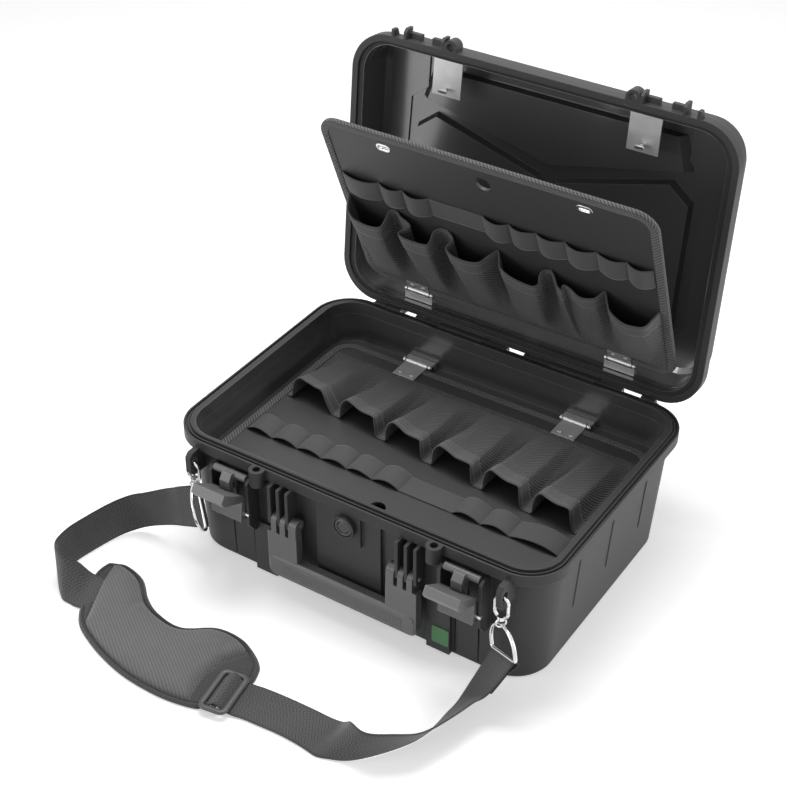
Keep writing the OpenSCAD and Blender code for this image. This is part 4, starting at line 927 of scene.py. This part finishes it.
def shoulder_pad():
    """A bean between two edge lines. Round its outline runs a bound bead; inside that, between two seams across, the
    core swells as one less an exponential of the distance to its seam. The underside is nearly flat. The core is marked
    by an attribute, from nought on the border to one."""
    a, b = smooth_line(outer_side, 300), smooth_line(inner_side, 300)
    ring = np.vstack([a, b[::-1][1:-1]])
    v = 0.5 - 0.5 * np.cos(np.linspace(0, np.pi, 90))
    flat = a[:, None] + (b - a)[:, None] * v[None, :, None]
    x, y = flat[..., 0], flat[..., 1]
    to_edge = np.maximum(near_edge(flat, ring[::2]), 0)
    from_left = (x - np.interp(y, left_seam[:, 1], left_seam[:, 0])) * 0.92
    from_right = (np.interp(y, right_seam[:, 1], right_seam[:, 0]) - x) * 0.95
    to_core = np.minimum(to_edge - 6.5, np.minimum(from_left, from_right))
    inside = np.clip(to_core, 0, None)
    bead = 3.6 * np.sqrt(np.clip(1 - (1 - np.clip(to_edge / 3.2, 0, 1)) ** 2, 0, 1))
    bead = bead + 1.1 * np.exp(-((to_edge - 3.0) / 1.9) ** 2)
    flap = 2.0 * (1 - np.exp(-np.clip(to_edge - 6.5, 0, None) / 3)) * np.clip(1 - inside / 3, 0, 1)
    swell = 11.4 * (1 - np.exp(-inside / 5.0)) + 1.6 * np.clip(inside / 45, 0, 1)
    seam = -1.3 * np.exp(-((to_edge - 6.3) / 0.9) ** 2) - 1.6 * np.exp(-(to_core / 1.5) ** 2)
    soft = 0.4 * np.sin(x / 11 + y / 17) * np.sin(y / 13 - x / 29) * np.clip(inside / 12, 0, 1)
    crease = (-1.8 * np.exp(-((x + 205) / 6) ** 2 - ((y + 301) / 16) ** 2)
              - 1.2 * np.exp(-((x + 78) / 5) ** 2 - ((y + 300) / 12) ** 2))
    top = 0.7 + bead + (flap + swell + seam + soft + crease) * (to_edge > 0)
    low = 0.6 + 1.2 * (1 - np.clip(to_edge / 2.6, 0, 1)) ** 2
    top[:, 0] = top[:, -1] = 1.9
    low[:, 0] = low[:, -1] = 1.8
    core = np.clip(to_core / 0.8 + 0.5, 0, 1)
    upper = np.concatenate([flat, np.maximum(top, low + 0.05)[..., None]], -1)
    under = np.concatenate([flat, low[..., None]], -1)[:, ::-1][:, 1:-1]
    grid = np.concatenate([upper, under], 1)
    obj = sheet_mesh("pad", grid, grid[..., :2], loop_v=True)
    mark = obj.data.attributes.new("core", "FLOAT", "POINT")
    mark.data.foreach_set("value", np.concatenate([core, np.zeros(under.shape[:2])], 1).reshape(-1).astype(np.float32))
    turned_out(obj)
    dress(obj, "case_base", pad_cloth, ("shoulder_pad",))
    return obj


shoulder_pad()

# Buckle: a round-cornered frame with a middle bar
angle = math.radians(9)
turn = np.array([[math.cos(angle), math.sin(angle)], [-math.sin(angle), math.cos(angle)]])
frame_line = outline(28.6, 57.0, 6, 120) @ turn + (-39, -355)
buckle = wire_loop("buckle_frame", np.c_[frame_line, np.full(120, 9.0)], 2.4, 16, "case_base", buckle_plastic,
                   wide=1.5)
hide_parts("strap_buckle")
bar = np.c_[np.zeros(9), np.linspace(-28, 28, 9)] @ turn + (-39, -355)
wire_loop("buckle_bar", np.c_[bar, np.full(9, 8.6)], 2.1, 12, "case_base", buckle_plastic, loop=False,
          wide=1.4)

# ---------------------------------------------------------------- floor and lamps


def studio():
    """A white floor that keeps the shadow, and broad soft lamps over and beside the case."""
    bpy.ops.mesh.primitive_plane_add(size=16, location=(0, 0, 0))
    floor = bpy.context.object
    floor.name = "floor"
    f = Finish("floor_white", 245, rough=0.9, specular=0.1)
    ray, glossy, through = (f.node("LightPath", out="Is %s Ray" % k) for k in ("Camera", "Glossy", "Transmission"))
    glow = f.node("Emission", None, {"Color": (1, 1, 1, 1), "Strength": most(most(ray, glossy), through) * 0.42}, out=0)
    both = f.tree.nodes.new("ShaderNodeAddShader")
    output = next(n for n in f.tree.nodes if n.bl_idname == "ShaderNodeOutputMaterial")
    f.tree.links.new(f.shader.outputs[0], both.inputs[0])
    f.tree.links.new(glow.socket, both.inputs[1])
    f.tree.links.new(both.outputs[0], output.inputs[0])
    floor.data.materials.append(f.material)
    world = bpy.data.worlds.new("studio")
    bpy.context.scene.world = world
    world.use_nodes = True
    tree = world.node_tree
    tree.nodes.clear()
    path, back = tree.nodes.new("ShaderNodeLightPath"), tree.nodes.new("ShaderNodeBackground")
    out = tree.nodes.new("ShaderNodeOutputWorld")
    total = path.outputs["Is Camera Ray"]
    for ray in ("Is Glossy Ray", "Is Transmission Ray"):
        both = tree.nodes.new("ShaderNodeMath")
        both.operation = "MAXIMUM"
        tree.links.new(total, both.inputs[0])
        tree.links.new(path.outputs[ray], both.inputs[1])
        total = both.outputs[0]
    mix = tree.nodes.new("ShaderNodeMapRange")
    mix.inputs["To Min"].default_value, mix.inputs["To Max"].default_value = 0.30, 1.0
    tree.links.new(total, mix.inputs["Value"])
    tree.links.new(mix.outputs[0], back.inputs["Strength"])
    back.inputs["Color"].default_value = (1, 1, 1, 1)
    tree.links.new(back.outputs[0], out.inputs[0])
    area_light("lamp_top", (-0.25, 0.30, 1.9), (0, 0, 0.15), (1.2, 0.8), 25)
    area_light("lamp_front", (-1.3, -1.9, 0.7), (0, 0.1, 0.25), (1.4, 0.9), 13)
    area_light("lamp_right", (2.0, 0.6, 1.0), (0, 0, 0.15), (0.5, 1.1), 12)


studio()
